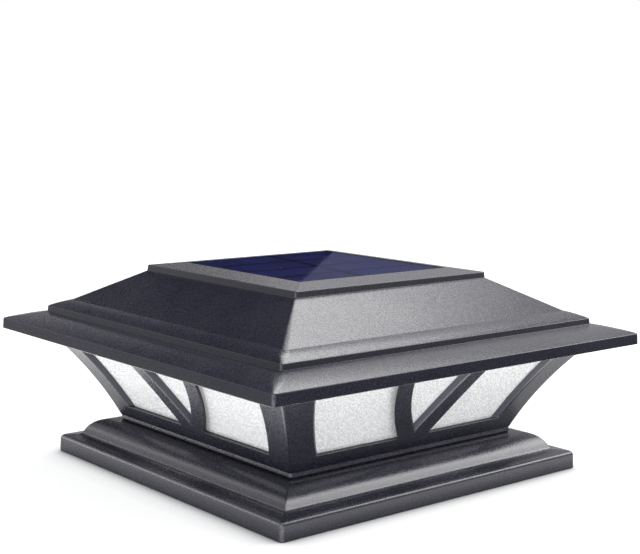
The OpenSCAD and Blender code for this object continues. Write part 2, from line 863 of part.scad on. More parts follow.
module reflector() color([0.95, 0.95, 0.95]) difference() {
    union() {
        difference() {
            square_moulding() reflector_outline();
            square_moulding() reflector_inside();
        }
        at_corners(reflector_screw_at) post(reflector_boss_d, z_floor, z_floor + reflector_boss_h);
        reflector_feet();
        led_screw_places() post(led_boss_d, z_reflector - led_boss_h, z_reflector - eps);
    }
    at_corners(reflector_screw_at) post(screw_d, z_floor - past, z_floor + reflector_boss_h - 1);
    led_screw_places() post(screw_d, z_reflector - led_boss_h + 1, z_reflector + past);
    translate([0, wire_hole_y]) post(2 * wire_hole_r, z_reflector - reflector_t - past, z_reflector + past);
}

module reflector_screws() color([0.7, 0.7, 0.72]) at_corners(reflector_screw_at) {
    screw_up(z_neck - screw_head_h, z_floor + reflector_boss_h - 1.5);
}

// ---- LED board ----

module led_screw_places() for (s = [-1, 1]) translate([s * led_screw_at, -s * led_screw_at]) children();

module led_board() color([0.9, 0.92, 0.9]) difference() {
    block(led_board_half, z_led_board, z_led_top);
    led_screw_places() post(screw_d + screw_hole_gap, z_led_board - past, z_led_top + past);
    translate([0, wire_hole_y]) post(2 * wire_hole_r, z_led_board - past, z_led_top + past);
}

module led_screws() color([0.7, 0.7, 0.72]) led_screw_places() {
    screw_down(z_led_board - led_boss_h + 1.4, z_led_top + screw_head_h);
}

module leds() color([1, 0.95, 0.7]) on_sides() for (s = [-1, 1]) {
    base_h = 1;
    translate([s * led_spacing, led_row_at, z_led_top]) {
        translate([-led_w / 2, -led_w / 2, 0]) cube([led_w, led_w, base_h]);
        intersection() {
            translate([0, 0, base_h]) sphere(led_w * 0.42);
            translate([-led_w, -led_w, base_h - eps]) cube([2 * led_w, 2 * led_w, led_w]);
        }
    }
}

// ---- Control board ----

module control_board() color([0.1, 0.4, 0.22]) difference() {
    translate([-board_x, board_y0, z_board]) cube([2 * board_x, board_d, board_t]);
    board_screw_places() post(screw_d + screw_hole_gap, z_board - past, z_board_top + past);
}

module board_parts() color([0.1, 0.1, 0.1]) {
    translate([-1.5 * chip.x, board_y0 + board_d / 2, z_board_top]) cube(chip);
    translate([-1.5 * chip.x, board_y0 + chip.y / 2, z_board_top]) cube(driver);
    translate([chip.x, board_y0 + chip.y / 2, z_board_top]) cube(diode);
    translate([-chip.x, board_y0 + board_d - 1.5 * diode.y, z_board_top]) cube(diode);
    translate([1.2 * chip.x, board_y0 + 0.66 * board_d]) post(capacitor_d, z_board_top,
        z_board_top + capacitor_h);
}

module board_screws() color([0.7, 0.7, 0.72]) board_screw_places() {
    screw_down(z_floor + 1, z_board_top + screw_head_h);
}

module switch_body() color([0.35, 0.36, 0.38]) difference() {
    translate([-switch_w / 2, switch_y - switch_d / 2, z_board - switch_h])
        cube([switch_w, switch_d, switch_h]);
    translate([-(switch_travel + knob_x + 2 * knob_gap) / 2, switch_y - knob_y / 2 - knob_gap,
        z_board - switch_h - past])
        cube([switch_travel + knob_x + 2 * knob_gap, knob_y + 2 * knob_gap, 2 + past]);
}

module switch_knob() color([0.85, 0.85, 0.86]) {
    cap_h = 1.2;
    cap_gap = 0.3;
    cap_z = z_neck - cap_gap - cap_h;
    translate([knob_off, switch_y]) {
        translate([-knob_x / 2, -knob_y / 2, cap_z])
            cube([knob_x, knob_y, z_board - switch_h + 1.6 - cap_z]);
        difference() {
            translate([-2.4, -1.9, cap_z]) cube([4.8, 3.8, cap_h]);
            for (x = [-1.2, 0, 1.2]) {
                translate([x - 0.2, -2.4, cap_z - past]) cube([0.4, 4.8, past + 0.4]);
            }
        }
    }
}

// ---- Battery ----

module along_x(x0, x1, d) translate([x0, 0, z_battery]) rotate([0, 90, 0]) cylinder(x1 - x0, d = d);

module battery() color([0.2, 0.5, 0.3]) {
    plus_x = bay_x - contact_t;
    along_x(plus_x - button_h - battery_l, plus_x - button_h, battery_d);
    along_x(plus_x - button_h - eps, plus_x, 5.5);
}

// A contact's plate against an end wall, and its tab out through the side wall
module contact_plate(side) {
    x0 = side > 0 ? bay_x - contact_t : -bay_x;
    translate([x0, -contact_w / 2, z_battery - contact_w / 2])
        cube([contact_t, contact_w, contact_w]);
    translate([x0, contact_w / 2 - eps, tab_z])
        cube([contact_t, tab_out - contact_w / 2 + eps, tab_h]);
}

module plate_contact() color([0.78, 0.78, 0.8]) contact_plate(1);

module spring_contact() color([0.78, 0.78, 0.8]) {
    rise = 5.6;
    bow_r = (rise * rise + spring_l * spring_l) / (2 * spring_l);
    bow_x = -bay_x + contact_t + spring_l - bow_r;
    leaf_t = 0.4;
    leaf_w = 6;
    contact_plate(-1);
    translate([bow_x, leaf_w / 2, z_battery]) rotate([90, 0, 0]) linear_extrude(leaf_w)
        intersection() {
            difference() {
                circle(bow_r);
                circle(bow_r - leaf_t);
            }
            translate([-bay_x + contact_t - eps - bow_x, -rise]) square([bow_r * 2, 2 * rise]);
        }
}

// ---- Battery door ----

module door_screw_places() for (s = [-1, 1]) translate([0, s * door_screw_y]) children();

module battery_door() color([0.12, 0.12, 0.13]) difference() {
    union() {
        translate([-door_x, -door_y, z_door]) cube([2 * door_x, 2 * door_y, door_t]);
        translate([-bay_x + door_plug_gap, -bay_y + door_plug_gap, z_door])
            cube([2 * (bay_x - door_plug_gap), 2 * (bay_y - door_plug_gap),
                door_t + door_gasket_t + door_plug_h]);
    }
    translate([-bay_x + 2, -bay_y + 2, z_door + door_t])
        cube([2 * (bay_x - 2), 2 * (bay_y - 2), door_plug_h + past]);
    door_screw_places() flat_screw_hole(z_door, z_door + door_t);
}

module door_gasket() color([0.06, 0.06, 0.06]) {
    difference() {
        translate([-door_x, -bay_y - door_gasket_w, z_door + door_t])
            cube([2 * door_x, 2 * (bay_y + door_gasket_w), door_gasket_t]);
        translate([-bay_x, -bay_y, z_door])
            cube([2 * bay_x, 2 * bay_y, door_t + door_gasket_t + past]);
    }
}

module door_screws() color([0.7, 0.7, 0.72]) door_screw_places() {
    flat_screw_up(z_door, z_floor + door_boss_h - 2);
}

// ---- Leads ----

module panel_lead_red() color([0.7, 0.08, 0.06]) lead(panel_lead_red_route, [1, 0, 0]);
module panel_lead_black() color([0.05, 0.05, 0.05]) lead(panel_lead_black_route, [1, 0, 0]);
module battery_lead_red() color([0.7, 0.08, 0.06]) lead(lead_across(1), [1, 1, 0]);
module battery_lead_black() color([0.05, 0.05, 0.05]) lead(lead_across(-1), [1, -1, 0]);
module led_leads() color([0.9, 0.9, 0.9]) for (s = [-1, 1]) lead(lead_up(s), [1, 0, 0]);

post_base();
lantern_frame();
lens_liner();
roof_cover();
panel_gasket();
panel_backing();
solar_cells();
panel_glazing();
roof_gasket();
roof_screws();
lamp_floor();
reflector();
reflector_screws();
led_board();
led_screws();
leds();
control_board();
board_parts();
board_screws();
switch_body();
switch_knob();
battery();
plate_contact();
spring_contact();
battery_door();
door_gasket();
door_screws();
panel_lead_red();
panel_lead_black();
battery_lead_red();
battery_lead_black();
led_leads();
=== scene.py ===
import json
import math
import bpy
from mathutils import Matrix, Vector, geometry


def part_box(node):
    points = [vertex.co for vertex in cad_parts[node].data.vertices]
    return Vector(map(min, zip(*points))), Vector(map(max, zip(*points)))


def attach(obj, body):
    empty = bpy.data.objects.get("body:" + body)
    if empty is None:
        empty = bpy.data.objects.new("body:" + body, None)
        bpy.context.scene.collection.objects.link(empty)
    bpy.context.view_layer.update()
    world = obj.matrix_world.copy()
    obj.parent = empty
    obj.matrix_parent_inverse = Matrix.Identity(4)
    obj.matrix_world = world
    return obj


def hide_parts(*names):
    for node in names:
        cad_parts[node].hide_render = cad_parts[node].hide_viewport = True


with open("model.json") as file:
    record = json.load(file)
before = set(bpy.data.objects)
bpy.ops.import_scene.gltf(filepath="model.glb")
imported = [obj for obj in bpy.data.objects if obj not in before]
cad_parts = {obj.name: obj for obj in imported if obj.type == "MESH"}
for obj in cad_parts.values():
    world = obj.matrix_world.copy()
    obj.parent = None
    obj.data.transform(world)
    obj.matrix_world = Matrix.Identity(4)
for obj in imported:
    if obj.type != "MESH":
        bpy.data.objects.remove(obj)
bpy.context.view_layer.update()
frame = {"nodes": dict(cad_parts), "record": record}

MM = 0.001
NODES = frame["nodes"]


# ---- Sizes, in millimetres, and leans, in degrees ----

def half_of(node):
    """Half the width of a node in the frame."""
    return round(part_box(node)[1].x / MM, 2)


def foot_of(node):
    """The lowest height of a node in the frame."""
    return round(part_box(node)[0].z / MM, 2)


def top_of(node):
    """The highest height of a node in the frame."""
    return round(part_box(node)[1].z / MM, 2)


def mount(name):
    """A mount of the frame."""
    return next(m for m in frame["record"]["mounts"] if m["name"] == name)


# The widths of whole forms are half widths, measured from the light's axis.

# Base
Z_UNDER, Z_SKIRT, Z_LEDGE = round(mount("post_seat")["pos_m"][2] / MM, 2), 7.0, 7.45
Z_DECK, Z_RIM = foot_of("lantern_frame"), top_of("post_base")
SKIRT_FOOT, SKIRT_DRAFT, SKIRT_WALL = half_of("post_base"), 0.2, 3.0
SKIRT = SKIRT_FOOT - SKIRT_DRAFT
SKIRT_IN = SKIRT - SKIRT_WALL
ROUND, ROUND_R, DECK_T, DECK_OPENING = 69.0, 5.5, 2.4, 32.0
POST_SCREWS = mount("post_screws")["dims"]
POST_SCREW_AT, POST_SCREW_R = POST_SCREWS["spacing_x_mm"] / 2, POST_SCREWS["hole_r_mm"]
POST_HEAD_R, POST_HEAD_H, POST_BOSS_R = 4.5, 5.8, 5.7
RIB_T, RIB_DEPTH, RIB_PITCH, RIB_FOOT = 1.8, 3.3, 45.0, 0.6
RIB_IN_WALL, RIB_IN_BOSS = 0.3, 0.5

# The outside of the base's shoulder follows the photo more closely than the frame does.
ROUND_FOOT, ROUND_LEAN, SHOULDER_R, COVE_R = 70.4, 30.0, 9.0, 2.4

# Roof
Z_EAVE, Z_CREST, Z_SHELF = foot_of("roof_cover"), top_of("roof_cover"), foot_of("panel_gasket")
FASCIA_H, EAVE_RISE, TIER_H, STRIP_RISE, BEZEL_H, BEZEL_CROWN = 4.4, 4.0, 1.75, 2.95, 2.4, 1.5
Z_FASCIA = Z_EAVE + FASCIA_H
Z_TIER = Z_FASCIA + EAVE_RISE
Z_STRIP = Z_TIER + TIER_H
Z_SLOPE = Z_STRIP + STRIP_RISE
Z_BEZEL_TOP = Z_CREST - BEZEL_CROWN
Z_BEZEL = Z_BEZEL_TOP - BEZEL_H
ROOF, ROOF_WALL, ROOF_DRAFT = half_of("roof_cover"), 2.2, 0.2
EAVE_W, TIER_IN, STRIP_W, BEZEL = 12.7, 13.9, 7.1, 49.8
EAVE = ROOF - ROOF_DRAFT
FASCIA_IN = EAVE - ROOF_WALL
TIER = ROOF - TIER_IN
STRIP = TIER - ROOF_DRAFT
SLOPE = STRIP - STRIP_W
BEZEL_TOP = BEZEL - ROOF_DRAFT
EAVE_R, STRIP_R, CEILING_RISE = 50.0, 22.0, 0.4
TIER_STEP = 0.5     # the step under the tier is this much taller, as in the photo

# Panel
PANEL, Z_PANEL = half_of("panel_glazing"), top_of("panel_glazing")
PANEL_GAP, POCKET_WALL, SHELF_W, SHELF_T = 0.15, 2.4, 4.8, 2.2
POCKET = PANEL + PANEL_GAP
SHELF_IN = PANEL - SHELF_W
COLUMN_SKEW, CELL_ROWS = 9.0, (-21.2, -1.7, 17.8)
COLUMN_GAP, ROW_GAP, BORDER = 1.2, 0.8, 1.9

# Lantern and liner
Z_NECK, Z_FLOOR = foot_of("lamp_floor"), foot_of("lens_liner")
Z_SOFFIT, Z_FLANGE = foot_of("roof_screws"), top_of("lantern_frame")
BAR_MEET_H, TOP_RAIL, Z_SILL = 1.7, 2.7, 22.2
Z_MEET = Z_SILL + BAR_MEET_H
Z_WINDOW_TOP = Z_SOFFIT - TOP_RAIL
FOOT, FOOT_RING, RIM_GAP, RIM_T = 58.2, 10.2, 0.3, 2.0
FOOT_IN = FOOT - FOOT_RING
RIM_OUT = FOOT_IN - RIM_GAP
RIM_IN = RIM_OUT - RIM_T
FLARE_TOP, FLARE_R, WALL = ROOF - EAVE_W, 131.0, 2.2
BEAD_IN, BEAD_H, GROOVE = 0.5, 0.6, 0.22
SOFFIT_OUT, SCREW_INSET = half_of("lantern_frame"), 8.6
ROOF_SCREW_AT = ROOF - SCREW_INSET
SCREW_SEAT_R, SCREW_SEAT_H, SCREW_HOLE_R = 2.7, 1.1, 1.65
CORNER_POST_W, CORNER_POST_LEAN = 12.2, 28.9
BAR_W, BAR_R, BAR_LEAN = 7.4, 110.0, 39.7
LENS_GAP, LENS_T, LENS_FOOT_W, LENS_FLANGE_W, LENS_FLANGE_T = 0.15, 1.6, 5.5, 2.6, 1.4


# ---- Curves of the walls ----

def arc_centre(a, b, radius, side):
    """Centre of the circle of that radius through a and b, on the side that is asked."""
    a, b = Vector(a), Vector(b)
    d = b - a
    back = math.sqrt(radius ** 2 - d.length_squared / 4)
    return (a + b) / 2 + side * back * Vector((-d.y, d.x)).normalized()


def arc_between(a, b, radius, side, count):
    """Points of the arc from a to b, without its ends."""
    c = arc_centre(a, b, radius, side)
    start = math.atan2(a[1] - c.y, a[0] - c.x)
    sweep = math.atan2(b[1] - c.y, b[0] - c.x) - start
    steps = [start + sweep * i / (count + 1) for i in range(1, count + 1)]
    return [(c.x + radius * math.cos(t), c.y + radius * math.sin(t)) for t in steps]


FLARE_X, FLARE_Z = arc_centre((FOOT, Z_NECK), (FLARE_TOP, Z_SOFFIT), FLARE_R, -1)


def flare(z, inward=0.0):
    """Half width of the flared wall at a height, moved in by a thickness."""
    return FLARE_X - math.sqrt((FLARE_R + inward) ** 2 - (z - FLARE_Z) ** 2)


def flare_normal(z, inward=0.0):
    """The flared wall's outward normal, in half width and height."""
    r = FLARE_R + inward
    return math.sqrt(r * r - (z - FLARE_Z) ** 2) / r, (FLARE_Z - z) / r


def levels(z0, z1, count):
    """Heights from z0 to z1 in equal steps."""
    return [z0 + (z1 - z0) * i / count for i in range(count + 1)]


# ---- Meshes ----

PER_MM = 1000               # points that round to the same of these steps are one
CORNER_STEPS = 5            # steps round each corner in plan
CIRCLE = 40                 # steps round a circle
STRAIGHT = 0.02             # radians: a corner that turns less gets no fillet
WIDE_FILLET = 3             # over this radius a fillet gets fine steps
FINE_STEP, COARSE_STEP = 7.5, 22.5  # degrees
TOUCHING = 1e-5             # points of a flat face that are closer are the same
SOFT = (0.3, 0.5, "all")    # how most inner corners of an outline are finished
HOLE_SOFT, CHAMFER, CREASE = 0.3, 0.2, 0.1  # edges of holes and bosses
HALFWAY = 0.3               # share of its radius that a soft edge is in at its middle
CORNER_SHEEN = 0.8                  # how bright the painted highlight on an upright corner is at its middle
CORNER_SHEEN_LEAN = 4               # how fast the painted highlight fades as a face leans
CORNER_SHEEN_RADIUS = 0.65          # corners with a smaller plan radius get no painted highlight


def add_object(name, data):
    """Puts a new object in the scene."""
    obj = bpy.data.objects.new(name, data)
    bpy.context.scene.collection.objects.link(obj)
    return obj


class Builder:
    """Collects the points, normals and faces of one piece, and joins points that meet."""

    def __init__(self):
        self.points, self.normals, self.wear, self.faces, self.found = [], [], [], [], {}

    def point(self, p, n, wear=0.0):
        key = tuple(round(c * PER_MM) for c in p)
        if key not in self.found:
            self.found[key] = len(self.points)
            self.points.append(tuple(p))
            self.normals.append(tuple(n))
            self.wear.append(wear)
        return self.found[key]

    def face(self, corners):
        loop = [c for i, c in enumerate(corners) if c != corners[i - 1]]
        if len(set(loop)) > 2:
            self.faces.append(loop)

    def strip(self, a, b, closed=False):
        """Quads between two rows of points. Their front is to the right of a, seen from b."""
        last = len(a) if closed else len(a) - 1
        for i in range(last):
            j = (i + 1) % len(a)
            self.face([a[i], a[j], b[j], b[i]])

    def piece(self, name, material):
        mesh = bpy.data.meshes.new(name)
        mesh.from_pydata([[c * MM for c in p] for p in self.points], [], self.faces)
        mesh.shade_smooth()
        mesh.normals_split_custom_set_from_vertices([Vector(n).normalized() for n in self.normals])
        # per point: the mask of the corners' painted highlight, and -1 in the windows' reveals
        mesh.attributes.new("wear", "FLOAT", "POINT").data.foreach_set("value", self.wear)
        mesh.materials.append(material)
        return add_object(name, mesh)


def turned(p, quarter):
    """A point or direction turned about Z by a number of quarter turns."""
    x, y, z = p
    for _ in range(quarter % 4):
        x, y = -y, x
    return (x, y, z)


def stations(outline):
    """Points with normals along a closed outline of half width and height.

    Each corner of the outline is (half width, height, fillet, plan radius, what follows it).
    What follows is "all" for a surface round all sides, "corners" for one whose flat sides are
    made elsewhere, or "none". The outline runs up its outer side.
    """
    made = []
    for i, (w, z, fillet, plan_r, kind) in enumerate(outline):
        p = Vector((w, z))
        d_in = p - Vector(outline[i - 1][:2])
        d_out = Vector(outline[(i + 1) % len(outline)][:2]) - p
        n_in = Vector((d_in.y, -d_in.x)).normalized()
        n_out = Vector((d_out.y, -d_out.x)).normalized()
        turn = n_in.angle(n_out)
        if not fillet or turn < STRAIGHT:
            n = (n_in * d_in.length + n_out * d_out.length).normalized()
            made.append((w, z, n.x, n.y, plan_r, kind))
            continue
        side = 1 if n_in.cross(n_out) > 0 else -1
        start = p - d_in.normalized() * fillet * math.tan(turn / 2)
        centre = start - n_in * fillet * side
        step = FINE_STEP if fillet > WIDE_FILLET else COARSE_STEP
        steps = max(2, math.ceil(math.degrees(turn) / step))
        for k in range(steps + 1):
            angle = turn * k / steps * side
            n = Matrix.Rotation(angle, 2) @ n_in
            q = centre + n * fillet * side
            made.append((q.x, q.y, n.x, n.y, plan_r, kind if k == steps else "all"))
    return made


def ring(b, station):
    """The points of one station round all four sides, corner by corner."""
    w, z, nw, nz, plan_r, _ = station
    # The painted highlight is strongest at the middle of an outward upright corner and fades as the face
    # leans.
    painted_sheen = max(0, 1 - CORNER_SHEEN_LEAN * abs(nz)) if nw > 0 and plan_r > CORNER_SHEEN_RADIUS else 0
    row = []
    for corner in range(4):
        for k in range(CORNER_STEPS + 1):
            t = math.radians(-90 + 90 * k / CORNER_STEPS)
            across, up = math.cos(t), math.sin(t)
            p = (w - plan_r + plan_r * across, -(w - plan_r) + plan_r * up, z)
            n = (nw * across, nw * up, nz)
            middle = CORNER_SHEEN - abs(2 * CORNER_SHEEN * k / CORNER_STEPS - CORNER_SHEEN)
            row.append(b.point(turned(p, corner), turned(n, corner), painted_sheen * middle))
    return row


def moulding(b, outline):
    """Sweeps an outline round the square. Gives each row of points, and what follows each row."""
    made = stations(outline)
    rows = [ring(b, s) for s in made]
    kinds = [s[-1] for s in made]
    size = CORNER_STEPS + 1
    for i, kind in enumerate(kinds):
        a, c = rows[i], rows[(i + 1) % len(rows)]
        if kind == "all":
            b.strip(a, c, closed=True)
        elif kind == "corners":
            for corner in range(4):
                part = slice(corner * size, corner * size + size)
                b.strip(a[part], c[part])
    return rows, kinds


def fill(outer, holes, extra=()):
    """Triangles of the region inside outer and outside the holes, by input point number."""
    loops = [outer, *holes]
    flat = [p for loop in loops for p in loop] + list(extra)
    edges, start = [], 0
    for loop in loops:
        edges += [(start + i, start + (i + 1) % len(loop)) for i in range(len(loop))]
        start += len(loop)
    result = geometry.delaunay_2d_cdt([Vector(p) for p in flat], edges, [], 0, TOUCHING)
    spots, faces, origin = result[0], result[2], result[3]
    kept = []
    for f in faces:
        c = sum((spots[i] for i in f), Vector((0, 0))) / 3
        if inside(c, outer) and not any(inside(c, h) for h in holes):
            kept.append([origin[i][0] for i in f])
    return flat, kept


def inside(p, loop):
    """Whether a point lies inside a loop."""
    odd = False
    for i, (x1, y1) in enumerate(loop):
        x0, y0 = loop[i - 1]
        if (y0 > p[1]) != (y1 > p[1]) and p[0] < (x1 - x0) * (p[1] - y0) / (y1 - y0) + x0:
            odd = not odd
    return odd


def add_triangles(b, flat, triangles, ids, counterclockwise):
    """Adds the faces of a filled region, all run round the way that is asked."""
    for t in triangles:
        (x0, y0), (x1, y1), (x2, y2) = (flat[i] for i in t)
        runs_counter = (x1 - x0) * (y2 - y0) - (x2 - x0) * (y1 - y0) > 0
        order = [ids[i] for i in t]
        b.face(order if runs_counter == counterclockwise else order[::-1])


def flat_patch(b, z, up, outer, holes):
    """A level face at a height, facing up or down, between loops in plan."""
    flat, triangles = fill(outer, holes)
    ids = [b.point((x, y, z), (0, 0, up)) for x, y in flat]
    add_triangles(b, flat, triangles, ids, up > 0)


def plan(b, row):
    """Where the points of a row lie in plan."""
    return [b.points[i][:2] for i in row]


def turning(b, centre, outline):
    """Turns an outline of radius and height about an upright axis, open at its ends."""
    rows = []
    for r, z, nr, nz in outline:
        row = []
        for k in range(CIRCLE):
            t = 2 * math.pi * k / CIRCLE
            c, s = math.cos(t), math.sin(t)
            row.append(b.point((centre[0] + r * c, centre[1] + r * s, z), (nr * c, nr * s, nz)))
        rows.append(row)
    for low, high in zip(rows, rows[1:]):
        b.strip(low, high, closed=True)


def slab(b, low, high, soft=0.25):
    """A box with softened edges."""
    low, high = Vector(low), Vector(high)
    middle, half = (low + high) / 2, (high - low) / 2
    signs = (-1, 1)
    corners = [(sx, sy, sz) for sx in signs for sy in signs for sz in signs]
    ids = {}
    for s in corners:
        for axis in range(3):
            p = middle + Vector(s[i] * (half[i] - (0 if i == axis else soft)) for i in range(3))
            n = Vector(s[i] if i == axis else 0 for i in range(3))
            ids[(*s, axis)] = b.point(p, n)
    for axis in range(3):
        u, v = (axis + 1) % 3, (axis + 2) % 3
        for s in signs:
            quad = []
            for su, sv in ((-1, -1), (1, -1), (1, 1), (-1, 1)):
                key = [0, 0, 0]
                key[axis], key[u], key[v] = s, su, sv
                quad.append(ids[(*key, axis)])
            b.face(quad if s > 0 else quad[::-1])
        for su in signs:
            for sv in signs:
                ends = []
                for s in signs:
                    key = [0, 0, 0]
                    key[axis], key[u], key[v] = s, su, sv
                    ends.append((ids[(*key, u)], ids[(*key, v)]))
                quad = [ends[0][0], ends[0][1], ends[1][1], ends[1][0]]
                b.face(quad[::-1] if su * sv > 0 else quad)
    for s in corners:
        tri = [ids[(*s, axis)] for axis in range(3)]
        b.face(tri if math.prod(s) > 0 else tri[::-1])


# ---- Roof ----

def curve(points, start, step, most):
    """Corners along a curve, whose plan radius grows from each to the next."""
    return [(w, z, 0, min(most, start + step * i), "all") for i, (w, z) in enumerate(points)]


def roof_outline():
    z_tier = Z_TIER - TIER_STEP
    pillow = arc_between((EAVE, Z_FASCIA), (TIER, z_tier), EAVE_R, 1, 9)
    strip = arc_between((STRIP, Z_STRIP), (SLOPE, Z_SLOPE), STRIP_R, 1, 6)
    slope = math.atan2(Z_BEZEL - Z_SLOPE, SLOPE - BEZEL)
    foot = (SLOPE - ROOF_WALL * math.sin(slope), Z_SLOPE - ROOF_WALL * math.cos(slope))
    core = BEZEL_TOP - ROOF_WALL
    ceiling = Z_BEZEL_TOP - ROOF_WALL + CEILING_RISE
    tier_in = TIER - ROOF_WALL
    block = POCKET + POCKET_WALL
    return [
        (ROOF, Z_EAVE, 0.3, 1.3, "all"),
        (EAVE, Z_FASCIA, 0.45, 1.3, "all"),
        *curve(pillow[:-1], 1.3, 0.9, 4.0),
        (*pillow[-1], 0, 1.3, "all"),
        (TIER, z_tier, 0.2, 1.0, "all"),
        (STRIP, Z_STRIP, 0.35, 1.0, "all"),
        *curve(strip, 1.3, 0.6, 3.0),
        (SLOPE, Z_SLOPE, 1.2, 2.4, "all"),
        (BEZEL, Z_BEZEL, 0.25, 0.7, "all"),
        (BEZEL_TOP, Z_BEZEL_TOP, 0.35, 0.8, "all"),
        (POCKET, Z_CREST, 0.2, 0.35, "all"),
        (POCKET, Z_SHELF, 0.1, 0.3, "all"),
        (SHELF_IN, Z_SHELF, 0.2, 0.4, "all"),
        (SHELF_IN, Z_SHELF - SHELF_T, 0.2, 0.4, "all"),
        (block, Z_SHELF - SHELF_T, *SOFT),
        (block, ceiling, *SOFT),
        (core, ceiling, *SOFT),
        (core, foot[1] + (foot[0] - core) * math.tan(slope), *SOFT),
        (*foot, 0.5, 0.5, "all"),
        (tier_in, Z_STRIP - ROOF_WALL, *SOFT),
        (tier_in, Z_TIER - ROOF_WALL, *SOFT),
        (FASCIA_IN, Z_FASCIA - ROOF_WALL / 2, *SOFT),
        (FASCIA_IN, Z_EAVE, *SOFT),
    ]


def make_roof(material):
    b = Builder()
    moulding(b, roof_outline())
    return b.piece("roof_shell", material)


# ---- Base ----

def four(x, y):
    """A place in plan and its three like places round the square."""
    return [turned((x, y, 0), q)[:2] for q in range(4)]


def circle_at(centre, r):
    """A circle in plan."""
    return [(centre[0] + r * math.cos(2 * math.pi * k / CIRCLE),
             centre[1] + r * math.sin(2 * math.pi * k / CIRCLE)) for k in range(CIRCLE)]


def make_base(material):
    b = Builder()
    under_deck = Z_DECK - DECK_T
    round_in = ROUND - DECK_T
    round_top = ROUND_FOOT - (Z_DECK - Z_LEDGE) * math.tan(math.radians(ROUND_LEAN))
    rows, kinds = moulding(b, [
        (SKIRT_FOOT, 0, 0.3, 1.5, "all"),
        (SKIRT, Z_SKIRT, 1.6, 1.5, "all"),
        (ROUND_FOOT, Z_LEDGE, COVE_R, 0.6, "all"),
        (round_top, Z_DECK, SHOULDER_R, 0.5, "all"),
        (RIM_OUT, Z_DECK, 0.2, 0.8, "all"),
        (RIM_OUT, Z_RIM, 0.3, 0.8, "all"),
        (RIM_IN, Z_RIM, 0.3, 0.6, "all"),
        (RIM_IN, Z_DECK, 0.2, 0.6, "none"),
        (DECK_OPENING, Z_DECK, 0.3, 0.8, "all"),
        (DECK_OPENING, under_deck, 0.3, 0.8, "none"),
        (round_in, under_deck, ROUND_R - DECK_T, 0.5, "all"),
        (round_in, Z_UNDER, *SOFT),
        (SKIRT_IN, Z_UNDER, *SOFT),
        (SKIRT_IN, 0, *SOFT),
    ])
    deck, under = ((rows[i], rows[i + 1]) for i, kind in enumerate(kinds) if kind == "none")
    seats = four(POST_SCREW_AT, POST_SCREW_AT)
    flat_patch(b, Z_DECK, 1, plan(b, deck[0]), [
        plan(b, deck[1]), *[circle_at(c, POST_HEAD_R + HOLE_SOFT) for c in seats]])
    flat_patch(b, under_deck, -1, plan(b, under[1]), [
        plan(b, under[0]), *[circle_at(c, POST_BOSS_R) for c in seats]])
    for c in seats:
        screw_seat(b, c, under_deck)
    for quarter in range(4):
        for u in (-RIB_PITCH, 0, RIB_PITCH):
            rib(b, quarter, u, SKIRT_IN - RIB_DEPTH, SKIRT_IN + RIB_IN_WALL,
                RIB_FOOT, Z_UNDER + RIB_IN_WALL)
        for u in (-POST_SCREW_AT, POST_SCREW_AT):
            rib(b, quarter, u, POST_SCREW_AT + POST_BOSS_R - RIB_IN_BOSS, round_in + RIB_IN_WALL,
                Z_SKIRT, under_deck + RIB_IN_WALL)
    return b.piece("base_moulding", material)


def screw_seat(b, centre, under_deck):
    """A post screw's boss under the deck, its hole and the counterbore for its head."""
    floor = Z_DECK - POST_HEAD_H
    sink = HALFWAY * HOLE_SOFT
    turning(b, centre, [
        (POST_HEAD_R + HOLE_SOFT, Z_DECK, 0, 1),
        (POST_HEAD_R + sink, Z_DECK - sink, -0.7, 0.7),
        (POST_HEAD_R, Z_DECK - HOLE_SOFT, -1, 0),
        (POST_HEAD_R, floor + CREASE, -1, 0),
        (POST_HEAD_R - CREASE, floor, 0, 1),
        (POST_SCREW_R + CHAMFER, floor, 0, 1),
        (POST_SCREW_R, floor - CHAMFER, -1, 0),
        (POST_SCREW_R, Z_UNDER + CHAMFER, -1, 0),
        (POST_SCREW_R + CHAMFER, Z_UNDER, 0, -1),
        (POST_BOSS_R - CHAMFER, Z_UNDER, 0, -1),
        (POST_BOSS_R, Z_UNDER + CHAMFER, 1, 0),
        (POST_BOSS_R, under_deck - CREASE / 2, 1, 0),
        (POST_BOSS_R, under_deck, 0, -1),
    ])


def rib(b, quarter, u, near, far, low, high):
    """An upright rib square to one side, at u along it and from near to far out from the middle."""
    ends = [turned((u - RIB_T / 2, near, low), quarter), turned((u + RIB_T / 2, far, high), quarter)]
    slab(b, [min(c) for c in zip(*ends)], [max(c) for c in zip(*ends)])


# ---- Lantern ----

PLAN_R, PLAN_R_IN = 1.2, 0.3  # corner radii of the lantern, in plan
EDGE, EDGE_STEPS = 0.35, 3  # rounding of the windows' outer edges
REVEAL_SHARES = (0.2, 1.0)  # shares of a reveal's depth that have points
WINDOW_CORNER, CORNER_PARTS = 0.5, 4  # rounding of the windows' corners
AXIS = 1e-6                 # closer to the middle of a side is on it
MIDDLE_ZONE = 4             # closer to it, reveals end where they would cross
GRID_ROWS, GRID_STEP, GRID_MARGIN = 16, 5, 1.2  # inner points of a wall, and how far from windows
END_GAP, TOP_GAP = 0.3, 0.5  # between a wall's patches and its ends
OUT_LEVELS, IN_LEVELS, LINER_LEVELS = 18, 12, 16  # steps up a wall's outside and inside
SIDE_LEVELS, CREASE_LEVELS, BAR_LEVELS = 14, 3, 13  # steps up the windows' outlines
HALVINGS = 60               # of the span in which the crease's top is searched


def post_edge(z):
    """Distance of a corner post's inner edge from the middle of its side."""
    return flare(Z_SILL) - CORNER_POST_W + math.tan(math.radians(CORNER_POST_LEAN)) * (z - Z_SILL)


def bar_edge(z, r):
    """Distance of a curved bar's edge of radius r from the middle of its side."""
    lean = math.radians(BAR_LEAN)
    return math.sqrt(r * r - (z - Z_MEET - BAR_R * math.sin(lean)) ** 2) - BAR_R * math.cos(lean)


def along(z):
    """Distance along the flared wall up to a height."""
    return FLARE_R * math.asin((z - FLARE_Z) / FLARE_R)


def height(s):
    """The height at a distance along the flared wall."""
    return FLARE_Z + FLARE_R * math.sin(s / FLARE_R)


